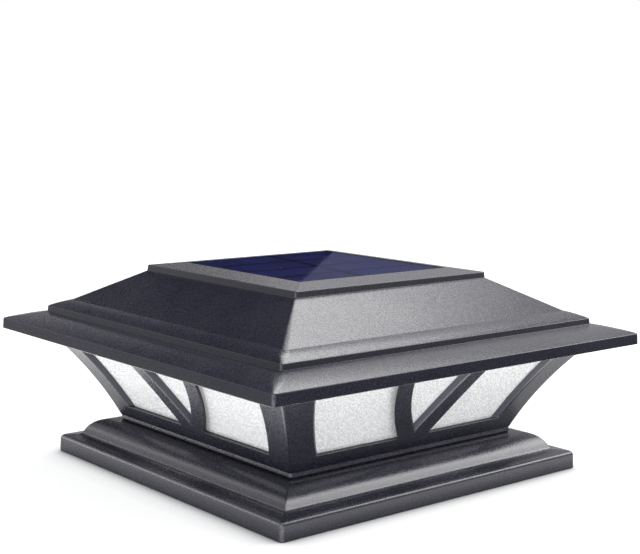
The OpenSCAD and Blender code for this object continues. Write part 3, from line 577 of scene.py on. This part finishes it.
def round_corners(loop, marks, r):
    """Rounds the marked corners of a loop of 2-D points."""
    made = []
    for i, p in enumerate(loop):
        if i not in marks:
            made.append(p)
            continue
        p = Vector(p)
        a, c = Vector(loop[i - 1]) - p, Vector(loop[(i + 1) % len(loop)]) - p
        open_angle = a.angle(c)
        reach = r / math.tan(open_angle / 2)
        centre = p + (a.normalized() + c.normalized()).normalized() * r / math.sin(open_angle / 2)
        start, end = p + a.normalized() * reach - centre, p + c.normalized() * reach - centre
        turn = math.pi - open_angle
        side = 1 if start.cross(end) > 0 else -1
        for k in range(CORNER_PARTS + 1):
            made.append(tuple(centre + Matrix.Rotation(side * turn * k / CORNER_PARTS, 2) @ start))
    return made


def grown(loop, by):
    """A counterclockwise loop, moved outwards."""
    made = []
    for i, p in enumerate(loop):
        p, a, c = Vector(p), Vector(loop[i - 1]), Vector(loop[(i + 1) % len(loop)])
        n1 = Vector(((p - a).y, -(p - a).x)).normalized()
        n2 = Vector(((c - p).y, -(c - p).x)).normalized()
        made.append(tuple(p + (n1 + n2) * by / (1 + n1.dot(n2))))
    return made


def crease_top():
    """Height at which the middle window's reveals stop meeting each other."""
    low, high = Z_MEET, Z_WINDOW_TOP
    for _ in range(HALVINGS):
        z = (low + high) / 2
        if bar_edge(z, BAR_R) < flare(z) - flare(z, WALL):
            low = z
        else:
            high = z
    return low


def window_loops():
    """The outlines of one side's three windows, counterclockwise, as distances along and up the wall."""
    rows = levels(Z_SILL, Z_WINDOW_TOP, SIDE_LEVELS)
    right = [(post_edge(z), along(z)) for z in rows]
    left = [(bar_edge(z, BAR_R + BAR_W), along(z)) for z in rows[::-1]]
    big = right + left
    big = round_corners(big, {0, len(right) - 1, len(right), len(big) - 1}, WINDOW_CORNER)
    mirrored = [(-u, s) for u, s in big[::-1]]
    crease = crease_top()
    rows = levels(Z_MEET, crease, CREASE_LEVELS)[:-1] + levels(crease, Z_WINDOW_TOP, BAR_LEVELS)
    right = [(bar_edge(z, BAR_R), along(z)) for z in rows[1:]]
    middle = [(0.0, along(Z_MEET))] + right + [(-u, s) for u, s in right[::-1]]
    tops = {len(right), len(right) + 1}
    return [big, mirrored, round_corners(middle, tops, WINDOW_CORNER)]


def on_wall(u, z, depth):
    """A point of the front wall, moved in along the diagonal of its nearer corner."""
    side = 0 if abs(u) < AXIS else math.copysign(1, u)
    depth = min(depth, abs(u)) if abs(u) < MIDDLE_ZONE else depth
    return (u - side * depth, -flare(z) + depth, z)


def make_window(b, loop, quarter):
    """The rounded edge and the reveals of one window. Gives its outer and inner outlines."""
    count = len(loop)
    edge = [Vector(on_wall(u, height(s), 0)) for u, s in loop]
    outer = [Vector(on_wall(u, height(s), 0)) for u, s in grown(loop, EDGE)]
    near = [Vector(on_wall(u, height(s), EDGE)) for u, s in loop]
    far = []
    for u, s in loop:
        z = height(s)
        far.append(Vector(on_wall(u, z, flare(z) - flare(z, WALL))))
    rows = [[] for _ in range(EDGE_STEPS + 1 + len(REVEAL_SHARES))]
    for i in range(count):
        z = edge[i].z
        face_n = Vector((0, -flare_normal(z)[0], flare_normal(z)[1]))
        pull = Vector((-1 if edge[i].x > 0 else 1, 1, 0)).normalized()
        ahead = edge[(i + 1) % count] - edge[i - 1]
        reveal_n = pull.cross(ahead).normalized()
        if reveal_n.dot(outer[i] - edge[i]) > 0:
            reveal_n = -reveal_n
        for k in range(EDGE_STEPS + 1):
            t = math.radians(90 * k / EDGE_STEPS)
            out, back = outer[i] - edge[i], near[i] - edge[i]
            p = edge[i] + out * (1 - math.sin(t)) + back * (1 - math.cos(t))
            n = face_n * math.cos(t) + reveal_n * math.sin(t)
            rows[k].append(b.point(turned(p, quarter), turned(n, quarter)))
        for k, share in enumerate(REVEAL_SHARES, EDGE_STEPS + 1):
            p = near[i].lerp(far[i], share)
            rows[k].append(b.point(turned(p, quarter), turned(reveal_n, quarter), -1))
    for a, c in zip(rows, rows[1:]):
        b.strip(a, c, closed=True)
    return [(p.x, p.z) for p in outer], [(p.x, p.z) for p in far]


def wall_patch(b, quarter, inward, plan_r, zs, holes, front):
    """One side's wall between the corners, with its window holes."""
    right = [(flare(z, inward) - plan_r, z) for z in zs]
    outline = right + [(-u, z) for u, z in right[::-1]]
    extra = []
    for z in levels(zs[0], zs[-1], GRID_ROWS)[1:-1]:
        half = flare(z, inward) - plan_r
        steps = max(2, round(2 * half / GRID_STEP))
        for i in range(1, steps):
            p = (-half + 2 * half * i / steps, z)
            if not any(inside(p, h) or clearance(p, h) < GRID_MARGIN for h in holes):
                extra.append(p)
    flat, triangles = fill(outline, holes, extra)
    ids = []
    sign = 1 if front else -1
    for u, z in flat:
        n = flare_normal(z, inward)
        ids.append(b.point(turned((u, -flare(z, inward), z), quarter),
                           turned((0, -n[0] * sign, n[1] * sign), quarter)))
    add_triangles(b, flat, triangles, ids, front)


def clearance(p, loop):
    """Distance from a point to the nearest corner of a loop."""
    return min(math.hypot(p[0] - q[0], p[1] - q[1]) for q in loop)


def make_lantern(material):
    b = Builder()
    out_levels = levels(Z_NECK + END_GAP, Z_SOFFIT - TOP_GAP, OUT_LEVELS)
    in_levels = levels(Z_FLANGE - END_GAP, Z_NECK + END_GAP, IN_LEVELS)
    rows, kinds = moulding(b, [
        (FOOT - BEAD_IN, Z_DECK, 0.1, PLAN_R, "all"),
        (FOOT, Z_DECK + BEAD_H, 0.8, PLAN_R, "all"),
        (FOOT - GROOVE, Z_NECK, 0.4, PLAN_R, "all"),
        *[(flare(z), z, 0, PLAN_R, "corners") for z in out_levels[:-1]],
        (flare(out_levels[-1]), out_levels[-1], 0, PLAN_R, "all"),
        (FLARE_TOP, Z_SOFFIT, 0.3, PLAN_R, "none"),
        (SOFFIT_OUT, Z_SOFFIT, 0.3, PLAN_R, "all"),
        (SOFFIT_OUT, Z_FLANGE, 0.3, PLAN_R, "all"),
        (flare(Z_FLANGE, WALL), Z_FLANGE, 0, PLAN_R_IN, "all"),
        *[(flare(z, WALL), z, 0, PLAN_R_IN, "corners") for z in in_levels[:-1]],
        (flare(in_levels[-1], WALL), in_levels[-1], 0, PLAN_R_IN, "all"),
        (flare(Z_NECK, WALL), Z_NECK, 0, PLAN_R_IN, "all"),
        (FOOT_IN, Z_NECK, 0.3, 0.8, "all"),
        (FOOT_IN, Z_DECK, 0.3, 0.8, "all"),
    ])
    for quarter in range(4):
        outer, inner = [], []
        for loop in window_loops():
            o, i = make_window(b, loop, quarter)
            outer.append(o)
            inner.append([p for k, p in enumerate(i) if p != i[k - 1]])
        inner[2] = open_part(inner[2])
        wall_patch(b, quarter, 0.0, PLAN_R, out_levels, outer, True)
        wall_patch(b, quarter, WALL, PLAN_R_IN, in_levels[::-1], inner, False)
    gap = kinds.index("none")
    seats = four(ROOF_SCREW_AT, ROOF_SCREW_AT)
    flat_patch(b, Z_SOFFIT, -1, plan(b, rows[gap + 1]), [
        plan(b, rows[gap]), *[circle_at(c, SCREW_SEAT_R) for c in seats]])
    for c in seats:
        turning(b, c, [
            (SCREW_SEAT_R, Z_SOFFIT, -0.7, -0.7),
            (SCREW_HOLE_R, Z_SOFFIT + SCREW_SEAT_H, -1, -0.2),
            (SCREW_HOLE_R, Z_FLANGE - CHAMFER, -1, 0),
            (0, Z_FLANGE - CHAMFER, 0, -1),
        ])
    return b.piece("lantern_shell", material)


def open_part(loop):
    """The middle window's inner outline, from the point where its reveals stop meeting."""
    crease = crease_top()
    return [p for p in loop if abs(p[0]) > AXIS or abs(p[1] - crease) < 1 / PER_MM]


def make_liner(material):
    b = Builder()
    out, inn = WALL + LENS_GAP, WALL + LENS_GAP + LENS_T
    low = Z_FLOOR + LENS_FLANGE_T
    top = Z_FLANGE + LENS_FLANGE_T
    foot = flare(low, inn) - LENS_FOOT_W
    front, back = (0.2, 1.0, "all"), (0.2, 0.6, "all")
    moulding(b, [
        (flare(Z_FLOOR, out), Z_FLOOR, *front),
        *[(flare(z, out), z, 0, 1.0, "all")
          for z in levels(Z_FLOOR + 1, Z_FLANGE - TOP_GAP, LINER_LEVELS)],
        (flare(Z_FLANGE, out), Z_FLANGE, *front),
        (flare(Z_FLANGE, out) + LENS_FLANGE_W, Z_FLANGE, *front),
        (flare(Z_FLANGE, out) + LENS_FLANGE_W, top, *front),
        (flare(Z_FLANGE, inn), top, *back),
        *[(flare(z, inn), z, 0, 0.6, "all") for z in levels(Z_FLANGE, low + 1, IN_LEVELS)],
        (flare(low, inn), low, *back),
        (foot, low, *back),
        (foot, Z_FLOOR, *back),
    ])
    return b.piece("frosted_liner", material)


# ---- Materials ----

NOISE = (0.3, 0.7)          # the range in which most of a noise lies


class Nodes:
    """A material's node tree, with short names for making and joining nodes."""

    def __init__(self, name):
        self.material = bpy.data.materials.new(name)
        self.material.use_nodes = True
        self.tree = self.material.node_tree
        self.shader = self.tree.nodes["Principled BSDF"]

    def add(self, kind, **settings):
        node = self.tree.nodes.new(kind)
        for key, value in settings.items():
            setattr(node, key, value)
        return node

    def link(self, a, b):
        self.tree.links.new(a, b)

    def place(self):
        return self.add("ShaderNodeTexCoord").outputs["Object"]

    def sheen_reveal_mask(self):
        """1 along the mouldings' upright corners, where a highlight is painted, -1 in the windows' rough
        reveals, else 0.
        """
        return self.add("ShaderNodeAttribute", attribute_name="wear").outputs["Fac"]

    def noise(self, where, scale, detail=2, warp=0):
        node = self.add("ShaderNodeTexNoise")
        node.inputs["Scale"].default_value = scale
        node.inputs["Detail"].default_value = detail
        node.inputs["Distortion"].default_value = warp
        self.link(where, node.inputs["Vector"])
        return node.outputs["Fac"]

    def cells(self, where, scale, feature="F1", output="Distance"):
        """The distance to the middle of each small cell, or a random value for it as "Color"."""
        node = self.add("ShaderNodeTexVoronoi", feature=feature)
        node.inputs["Scale"].default_value = scale
        self.link(where, node.inputs["Vector"])
        return node.outputs[output]

    def ramp(self, value, stops):
        """Maps a value to colours, given as (position, colour)."""
        node = self.add("ShaderNodeValToRGB")
        marks = node.color_ramp.elements
        while len(marks) < len(stops):
            marks.new(0.5)
        for mark, (position, colour) in zip(marks, stops):
            mark.position = position
            mark.color = (*colour, 1)
        self.link(value, node.inputs["Fac"])
        return node.outputs["Color"]

    def spread(self, value, low, high, lowest=0.0, highest=1.0):
        """Maps a value from one range to another."""
        node = self.add("ShaderNodeMapRange")
        ends = {"From Min": lowest, "From Max": highest, "To Min": low, "To Max": high}
        for name, number in ends.items():
            node.inputs[name].default_value = number
        self.link(value, node.inputs["Value"])
        return node.outputs["Result"]

    def calculate(self, operation, a, b):
        """One step of arithmetic on two values or numbers."""
        node = self.add("ShaderNodeMath", operation=operation)
        for socket, value in zip(node.inputs, (a, b)):
            if isinstance(value, (int, float)):
                socket.default_value = value
            else:
                self.link(value, socket)
        return node.outputs[0]

    def sum(self, a, b, share):
        """a plus b times share."""
        return self.calculate("ADD", a, self.calculate("MULTIPLY", b, share))

    def parts(self, vector):
        """The x, y and z of a vector."""
        node = self.add("ShaderNodeSeparateXYZ")
        self.link(vector, node.inputs[0])
        return node.outputs

    def near(self, value, to, reach):
        """1 where a value is within reach of a number, else 0."""
        distance = self.calculate("ABSOLUTE", self.calculate("SUBTRACT", value, to), 0)
        return self.calculate("LESS_THAN", distance, reach)

    def blend(self, share, a, b):
        """Blends from colour a to colour b."""
        node = self.add("ShaderNodeMix", data_type="RGBA")
        sockets = [s for s in node.inputs if s.enabled]
        self.link(share, sockets[0])
        for socket, value in zip(sockets[1:], (a, b)):
            if isinstance(value, tuple):
                socket.default_value = (*value, 1)
            else:
                self.link(value, socket)
        return next(s for s in node.outputs if s.enabled)

    def feed(self, name, value):
        """Links a value to an input of the shader."""
        self.link(value, self.shader.inputs[name])

    def bump(self, value, strength, distance):
        node = self.add("ShaderNodeBump")
        node.inputs["Strength"].default_value = strength
        node.inputs["Distance"].default_value = distance
        self.link(value, node.inputs["Height"])
        self.feed("Normal", node.outputs["Normal"])

    def set(self, **values):
        for name, value in values.items():
            self.shader.inputs[name.replace("_", " ")].default_value = value


def grey(v):
    return (v, v, v)


def black_plastic():
    """Fine-grained black plastic, with a painted highlight along its upright corners, rougher in the
    windows' reveals.
    """
    m = Nodes("black_plastic")
    at = m.place()
    cloud = m.noise(at, 45, detail=3)
    speck = m.cells(at, 2400, output="Color")
    # Painted highlight: grainy pale grey blended in along the upright corners.
    sheen_reveal_mask = m.calculate("MULTIPLY", m.calculate("MAXIMUM", m.sheen_reveal_mask(), 0), m.spread(speck, 0.1, 0.5))
    colour = m.ramp(m.sum(m.calculate("MULTIPLY", speck, 0.4), cloud, 0.6), [
        (0.3, (0.011, 0.011, 0.019)), (0.7, (0.0145, 0.0145, 0.025))])
    m.feed("Base Color", m.blend(sheen_reveal_mask, colour, (0.5, 0.5, 0.52)))
    rough = m.sum(m.spread(cloud, 0.18, 0.22, *NOISE), speck, 0.14)
    m.feed("Roughness", m.sum(rough, m.spread(m.sheen_reveal_mask(), 0.35, 0, lowest=-1, highest=0), 1))
    m.bump(m.noise(at, 1900), strength=1.0, distance=0.05 * MM)
    m.set(IOR=1.5, Specular_IOR_Level=0.36)
    return m.material


def frosted_plastic():
    """White frosted acrylic with a pebbled face, darker where its relief is high as painted shade, and
    with a faint painted glow.
    """
    m = Nodes("frosted_plastic")
    at = m.place()
    pebble = m.cells(at, 1300, "SMOOTH_F1")
    wave = m.noise(at, 1100, warp=1.5)
    relief = m.sum(pebble, wave, 0.8)
    # Painted shade: the colour darkens where the pebble relief is high.
    m.feed("Base Color", m.ramp(relief, [(0.45, (0.97, 0.97, 0.965)), (0.95, (0.6, 0.605, 0.61))]))
    # Painted light: the faint white emission brightens the lens as if more light fell on it.
    m.set(Roughness=0.35, IOR=1.49, Subsurface_Weight=0.2, Subsurface_Scale=0.001,
          Subsurface_Radius=(1, 1, 1), Emission_Color=(1, 1, 1, 1), Emission_Strength=0.16)
    m.bump(relief, strength=1.0, distance=0.5 * MM)
    return m.material


def simple(name, colour, rough, metal=0.0, change=0.15, **more):
    """A plain material with a faint grain, cloudy colour and uneven gloss."""
    m = Nodes(name)
    at = m.place()
    cloud = m.noise(at, 90, detail=3)
    low = tuple(c * (1 - change) for c in colour)
    high = tuple(min(1, c * (1 + change)) for c in colour)
    m.feed("Base Color", m.ramp(cloud, [*zip(NOISE, (low, high))]))
    m.feed("Roughness", m.spread(cloud, rough * 0.85, rough * 1.15, *NOISE))
    m.set(Metallic=metal, **more)
    m.bump(m.noise(at, 900), strength=0.3, distance=0.05 * MM)
    return m.material


def solar_cell():
    """Navy silicon with faint crystal patches, black beside the gaps between the cells."""
    m = Nodes("solar_cell")
    at = m.place()
    patch = m.cells(at, 260)
    cloud = m.noise(at, 40, detail=3)
    silicon = m.ramp(m.sum(m.calculate("MULTIPLY", cloud, 0.7), patch, 0.3), [
        (0.3, (0.0025, 0.0045, 0.04)), (0.65, (0.007, 0.0095, 0.07))])
    x, y = m.parts(at)[:2]
    skew = math.radians(COLUMN_SKEW)
    across = m.sum(m.calculate("MULTIPLY", x, math.cos(skew)), y, -math.sin(skew))
    edges = m.near(across, 0, COLUMN_GAP * MM)
    for row in CELL_ROWS:
        edges = m.calculate("MAXIMUM", edges, m.near(y, row * MM, ROW_GAP * MM))
    for side in (-1, 1):
        for value in (x, y):
            edges = m.calculate("MAXIMUM", edges, m.near(value, side * POCKET * MM, BORDER * MM))
    m.feed("Base Color", m.blend(edges, silicon, (0.001, 0.001, 0.003)))
    m.set(Roughness=0.4, Specular_IOR_Level=0.06)
    m.bump(m.noise(at, 900), strength=0.1, distance=0.03 * MM)
    return m.material


def glazing():
    """Clear cast resin over the cells."""
    m = Nodes("panel_glazing")
    at = m.place()
    m.feed("Roughness", m.spread(m.noise(at, 120, detail=3), 0.02, 0.05, *NOISE))
    m.set(Base_Color=(1, 1, 1, 1), Transmission_Weight=1.0, IOR=1.45)
    return m.material


def underside():
    """The resin's underside, left out of sight so that the cells and the board show."""
    m = Nodes("resin_underside")
    m.set(Alpha=0.0)
    return m.material


def make_materials():
    return {
        "resin_underside": underside(),
        "black_plastic": black_plastic(),
        "frosted_plastic": frosted_plastic(),
        "solar_cell": solar_cell(),
        "panel_glazing": glazing(),
        "black_rubber": simple("black_rubber", grey(0.012), 0.75),
        "panel_board": simple("panel_board", (0.003, 0.003, 0.006), 0.6, Specular_IOR_Level=0.05),
        "zinc_steel": simple("zinc_steel", grey(0.55), 0.32, 1.0),
        "white_plastic": simple("white_plastic", grey(0.8), 0.4, change=0.05),
        "white_board": simple("white_board", (0.78, 0.8, 0.78), 0.45, change=0.06),
        "green_board": simple("green_board", (0.02, 0.13, 0.05), 0.4),
        "led_resin": simple("led_resin", (0.85, 0.75, 0.3), 0.3, change=0.1),
        "chip_plastic": simple("chip_plastic", grey(0.015), 0.5),
        "switch_steel": simple("switch_steel", grey(0.4), 0.35, 1.0),
        "knob_plastic": simple("knob_plastic", grey(0.6), 0.45, change=0.06),
        "battery_wrap": simple("battery_wrap", (0.03, 0.22, 0.09), 0.35),
        "nickel": simple("nickel", (0.6, 0.58, 0.54), 0.25, 1.0),
        "red_insulation": simple("red_insulation", (0.5, 0.02, 0.015), 0.45),
        "black_insulation": simple("black_insulation", grey(0.015), 0.5),
        "white_insulation": simple("white_insulation", grey(0.75), 0.45),
    }


# ---- Stage ----

# The camera as it was fitted to the edges in the photo, in metres
EYE = Vector((-0.34369, -0.41567, 0.14777))
EYE_RIGHT = (0.7686, -0.6397, 0.0099)
EYE_UP = (0.0755, 0.1060, 0.9915)
EYE_BACK = (-0.6353, -0.7613, 0.1298)
LENS = 73.91

MIDDLE = Vector((0, 0, 0.05))  # what the lamps and standing cards face
FLOOR_CARD = 0.0005         # height of the cards that lie on the floor
WHITE = (1, 1, 1)


def frame_of(back):
    """Axes of a thing whose Z axis points back from what it faces."""
    right = Vector((0, 0, 1)).cross(back).normalized()
    return Matrix((right, back.cross(right), back)).transposed()


def direction(azimuth, elevation):
    """The direction to a place, from its degrees round and up."""
    a, e = math.radians(azimuth), math.radians(elevation)
    return Vector((math.cos(a) * math.cos(e), math.sin(a) * math.cos(e), math.sin(e)))


def make_camera():
    data = bpy.data.cameras.new("camera")
    data.lens = LENS
    data.sensor_width = 36
    data.clip_start = 0.01
    camera = add_object("camera", data)
    axes = Matrix((EYE_RIGHT, EYE_UP, EYE_BACK)).transposed()
    camera.matrix_world = Matrix.Translation(EYE) @ axes.to_4x4()
    bpy.context.scene.camera = camera


def softbox(name, azimuth, elevation, distance, width, tall, glow):
    """A soft rectangular light, facing the middle, as bright as a surface that glows that much."""
    data = bpy.data.lights.new(name, "AREA")
    data.shape = "RECTANGLE"
    data.size = width
    data.size_y = tall
    data.energy = glow * math.pi * width * tall
    light = add_object(name, data)
    back = direction(azimuth, elevation)
    light.matrix_world = Matrix.Translation(MIDDLE + back * distance) @ frame_of(back).to_4x4()


def card(name, corners, glow, colour=WHITE):
    """A studio card that only gloss shows."""
    mesh = bpy.data.meshes.new(name)
    mesh.from_pydata(corners, [], [(0, 1, 2, 3)])
    m = Nodes(name)
    m.set(Base_Color=(0, 0, 0, 1), Roughness=1.0, Specular_IOR_Level=0.0,
          Emission_Color=(*colour, 1), Emission_Strength=glow)
    mesh.materials.append(m.material)
    obj = add_object(name, mesh)
    obj.visible_camera = False
    obj.visible_diffuse = False
    obj.visible_shadow = False
    obj.visible_transmission = False


def standing(azimuth, elevation, distance, width, tall):
    """Corners of a card that faces the middle."""
    back = direction(azimuth, elevation)
    axes = frame_of(back)
    return [MIDDLE + back * distance + axes @ Vector((x * width / 2, y * tall / 2, 0))
            for x, y in ((-1, -1), (1, -1), (1, 1), (-1, 1))]


def lying(corners, z=FLOOR_CARD):
    """Corners of a level card, from where they lie in plan."""
    return [(x, y, z) for x, y in corners]


def oblong(x0, x1, y0, y1):
    """Corners of an oblong in plan."""
    return [(x0, y0), (x1, y0), (x1, y1), (x0, y1)]


def upright(a, b, low, high):
    """Corners of an upright card over the line between two places in plan."""
    return [(*a, low), (*b, low), (*b, high), (*a, high)]


def panel_cards():
    """Two cards behind the light that the panel's glass shows, meeting along its diagonal."""
    half, top, line_end = PANEL * MM, Z_PANEL * MM, 33.0 * MM
    mirrored_eye = Vector((EYE.x, EYE.y, 2 * top - EYE.z))
    away, side = Vector((0.64, 0.768, 0)), Vector((0.768, -0.64, 0))     # from the camera, and right
    distance, wide = 0.4, 0.22

    def behind(x, y):
        """Where a place on the glass is seen in it, at the cards' distance."""
        ray = Vector((x, y, top)) - mirrored_eye
        return mirrored_eye + ray * ((distance - mirrored_eye.dot(away)) / ray.dot(away))

    front, back = behind(-half, -half), behind(half, line_end)
    low, high = back + (back - front), front + (front - back)
    card("panel_dark", [low, high, high - side * wide, low - side * wide], glow=0.0)
    card("panel_haze", [low, high, high + side * wide, low + side * wide], glow=0.14,
         colour=(0.65, 0.69, 1))


def background_rays(tree):
    """1 for rays that show the background: from the camera, or in gloss and glass."""
    path = tree.nodes.new("ShaderNodeLightPath")
    value = path.outputs["Is Camera Ray"]
    for name in ("Is Glossy Ray", "Is Transmission Ray"):
        node = tree.nodes.new("ShaderNodeMath")
        node.operation = "MAXIMUM"
        tree.links.new(value, node.inputs[0])
        tree.links.new(path.outputs[name], node.inputs[1])
        value = node.outputs[0]
    return value


def make_world():
    world = bpy.data.worlds.new("studio")
    bpy.context.scene.world = world
    world.use_nodes = True
    tree = world.node_tree
    tree.nodes.clear()
    output = tree.nodes.new("ShaderNodeOutputWorld")
    mix = tree.nodes.new("ShaderNodeMixShader")
    room = tree.nodes.new("ShaderNodeBackground")
    white = tree.nodes.new("ShaderNodeBackground")
    room.inputs["Color"].default_value = (0.95, 0.97, 1, 1)
    room.inputs["Strength"].default_value = 0.95
    white.inputs["Color"].default_value = (1, 1, 1, 1)
    white.inputs["Strength"].default_value = 1.0
    tree.links.new(background_rays(tree), mix.inputs[0])
    tree.links.new(room.outputs[0], mix.inputs[1])
    tree.links.new(white.outputs[0], mix.inputs[2])
    tree.links.new(mix.outputs[0], output.inputs["Surface"])


def make_floor():
    """A white floor that keeps the object's real shadow, darkened further near it by a painted contact
    shadow, and can be seen through from below.
    """
    mesh = bpy.data.meshes.new("floor")
    reach = 4.0
    mesh.from_pydata(lying(oblong(-reach, reach, -reach, reach), -0.1 * MM), [], [(0, 1, 2, 3)])
    m = Nodes("floor")
    m.set(Base_Color=(*grey(0.35), 1), Roughness=1.0, Specular_IOR_Level=0.0,
          Emission_Color=(*WHITE, 1))
    # Painted contact shadow: the floor's glow fades where ambient occlusion finds the object close by.
    contact = m.add("ShaderNodeAmbientOcclusion", samples=8)
    contact.inputs["Distance"].default_value = 0.014
    glow = m.spread(contact.outputs["AO"], low=0.0, high=0.73, lowest=0.45, highest=0.95)
    m.feed("Emission Strength", glow)
    back = m.add("ShaderNodeNewGeometry").outputs["Backfacing"]
    m.feed("Alpha", m.calculate("SUBTRACT", 1, back))
    mesh.materials.append(m.material)
    add_object("floor", mesh)


def make_stage():
    """The camera, room, floor, lamps and cards. A card's name says which faces' gloss it is for."""
    make_camera()
    make_world()
    make_floor()
    softbox("key", azimuth=32, elevation=60, distance=1.1, width=0.72, tall=0.58, glow=8.6)
    softbox("right_strip", azimuth=-32, elevation=32, distance=1.0, width=0.55, tall=0.42, glow=9.5)
    softbox("front", azimuth=-165, elevation=12, distance=1.3, width=0.5, tall=0.7, glow=3.5)
    card("slope_flag", standing(azimuth=77, elevation=39, distance=0.9, width=0.62, tall=0.6), glow=0.02)
    card("back_glow", standing(azimuth=53, elevation=12, distance=1.2, width=0.22, tall=0.16), glow=1.7)
    card("left_grey", lying(oblong(-1.2, -0.13, 0.0, 1.2)), glow=0.5)
    card("left_floor", lying(oblong(-0.13, -0.087, -0.12, 0.25)), glow=6.5)
    card("left_ledge", lying(oblong(-0.088, -0.0785, -0.12, 0.25), z=0.0075), glow=6.0)
    card("left_foot", upright((-0.087, -0.12), (-0.087, 0.12), low=0, high=0.004), glow=2.0)
    card("left_low", upright((-0.09, -0.1), (-0.09, 0.22), low=0.024, high=0.04), glow=3.0)
    card("right_grey", lying([(-0.09, -0.087), (-0.75, -0.9), (0.9, -0.9), (0.9, -0.087)]), glow=0.03)
    card("right_foot", upright((-0.12, -0.087), (0.12, -0.087), low=0, high=0.004), glow=3.2)
    card("right_low", upright((-0.12, -0.09), (0.2, -0.09), low=0.023, high=0.041), glow=11.0)
    panel_cards()
    bpy.context.scene.view_settings.view_transform = "Standard"


# ---- The whole light ----

KEPT = {
    "black_plastic": ("lamp_floor", "battery_door"),
    "solar_cell": ("solar_cells",),
    "panel_glazing": ("panel_glazing",),
    "panel_board": ("panel_backing",),
    "black_rubber": ("panel_gasket", "roof_gasket", "door_gasket"),
    "zinc_steel": ("roof_screws", "reflector_screws", "led_screws", "board_screws", "door_screws"),
    "white_plastic": ("reflector",),
    "white_board": ("led_board",),
    "led_resin": ("leds",),
    "green_board": ("control_board",),
    "chip_plastic": ("board_parts",),
    "switch_steel": ("switch_body",),
    "knob_plastic": ("switch_knob",),
    "battery_wrap": ("battery",),
    "nickel": ("plate_contact", "spring_contact"),
    "red_insulation": ("panel_lead_red", "battery_lead_red"),
    "black_insulation": ("panel_lead_black", "battery_lead_black"),
    "white_insulation": ("led_leads",),
}
PANEL_NODES = ("solar_cells", "panel_glazing")
RIM_SLOT, UNDERSIDE_SLOT = 1, 2
LEAD_SLOTS = ("red_insulation", "black_insulation", "white_insulation")


def dress(name, material):
    """Gives a node its material."""
    mesh = NODES[name].data
    mesh.materials.clear()
    mesh.materials.append(material)


def soften(name):
    """Gives a node that is made of flat faces soft edges."""
    obj = NODES[name]
    bevel = obj.modifiers.new("soft_edges", "BEVEL")
    bevel.width = 0.12 * MM
    bevel.segments = 2
    bevel.limit_method = "ANGLE"
    bevel.angle_limit = math.radians(40)
    weights = obj.modifiers.new("flat_faces", "WEIGHTED_NORMAL")
    weights.keep_sharp = True


def dress_panel(name, rim, underside_material):
    """Gives the sides and the underside of one of the panel's level nodes their own materials."""
    mesh = NODES[name].data
    mesh.materials.append(rim)
    mesh.materials.append(underside_material)
    for face in mesh.polygons:
        if abs(face.normal.z) < 0.5:
            face.material_index = RIM_SLOT
        elif face.normal.z < 0:
            face.material_index = UNDERSIDE_SLOT


def build():
    """Gives the nodes that are kept their materials, and replaces the four mouldings that show."""
    materials = make_materials()
    for slot, names in KEPT.items():
        for name in names:
            dress(name, materials[slot])
            if slot not in LEAD_SLOTS and name not in PANEL_NODES:
                soften(name)
    for name in PANEL_NODES:
        dress_panel(name, materials["panel_board"], materials["resin_underside"])
    NODES["panel_glazing"].visible_shadow = False
    NODES["panel_glazing"].visible_diffuse = False
    shells = (
        (make_roof, "roof_cover", "head", "black_plastic"),
        (make_lantern, "lantern_frame", "head", "black_plastic"),
        (make_liner, "lens_liner", "head", "frosted_plastic"),
        (make_base, "post_base", "base", "black_plastic"),
    )
    for make, node, body, slot in shells:
        piece = make(materials[slot])
        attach(piece, body)
        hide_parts(node)


make_stage()
build()
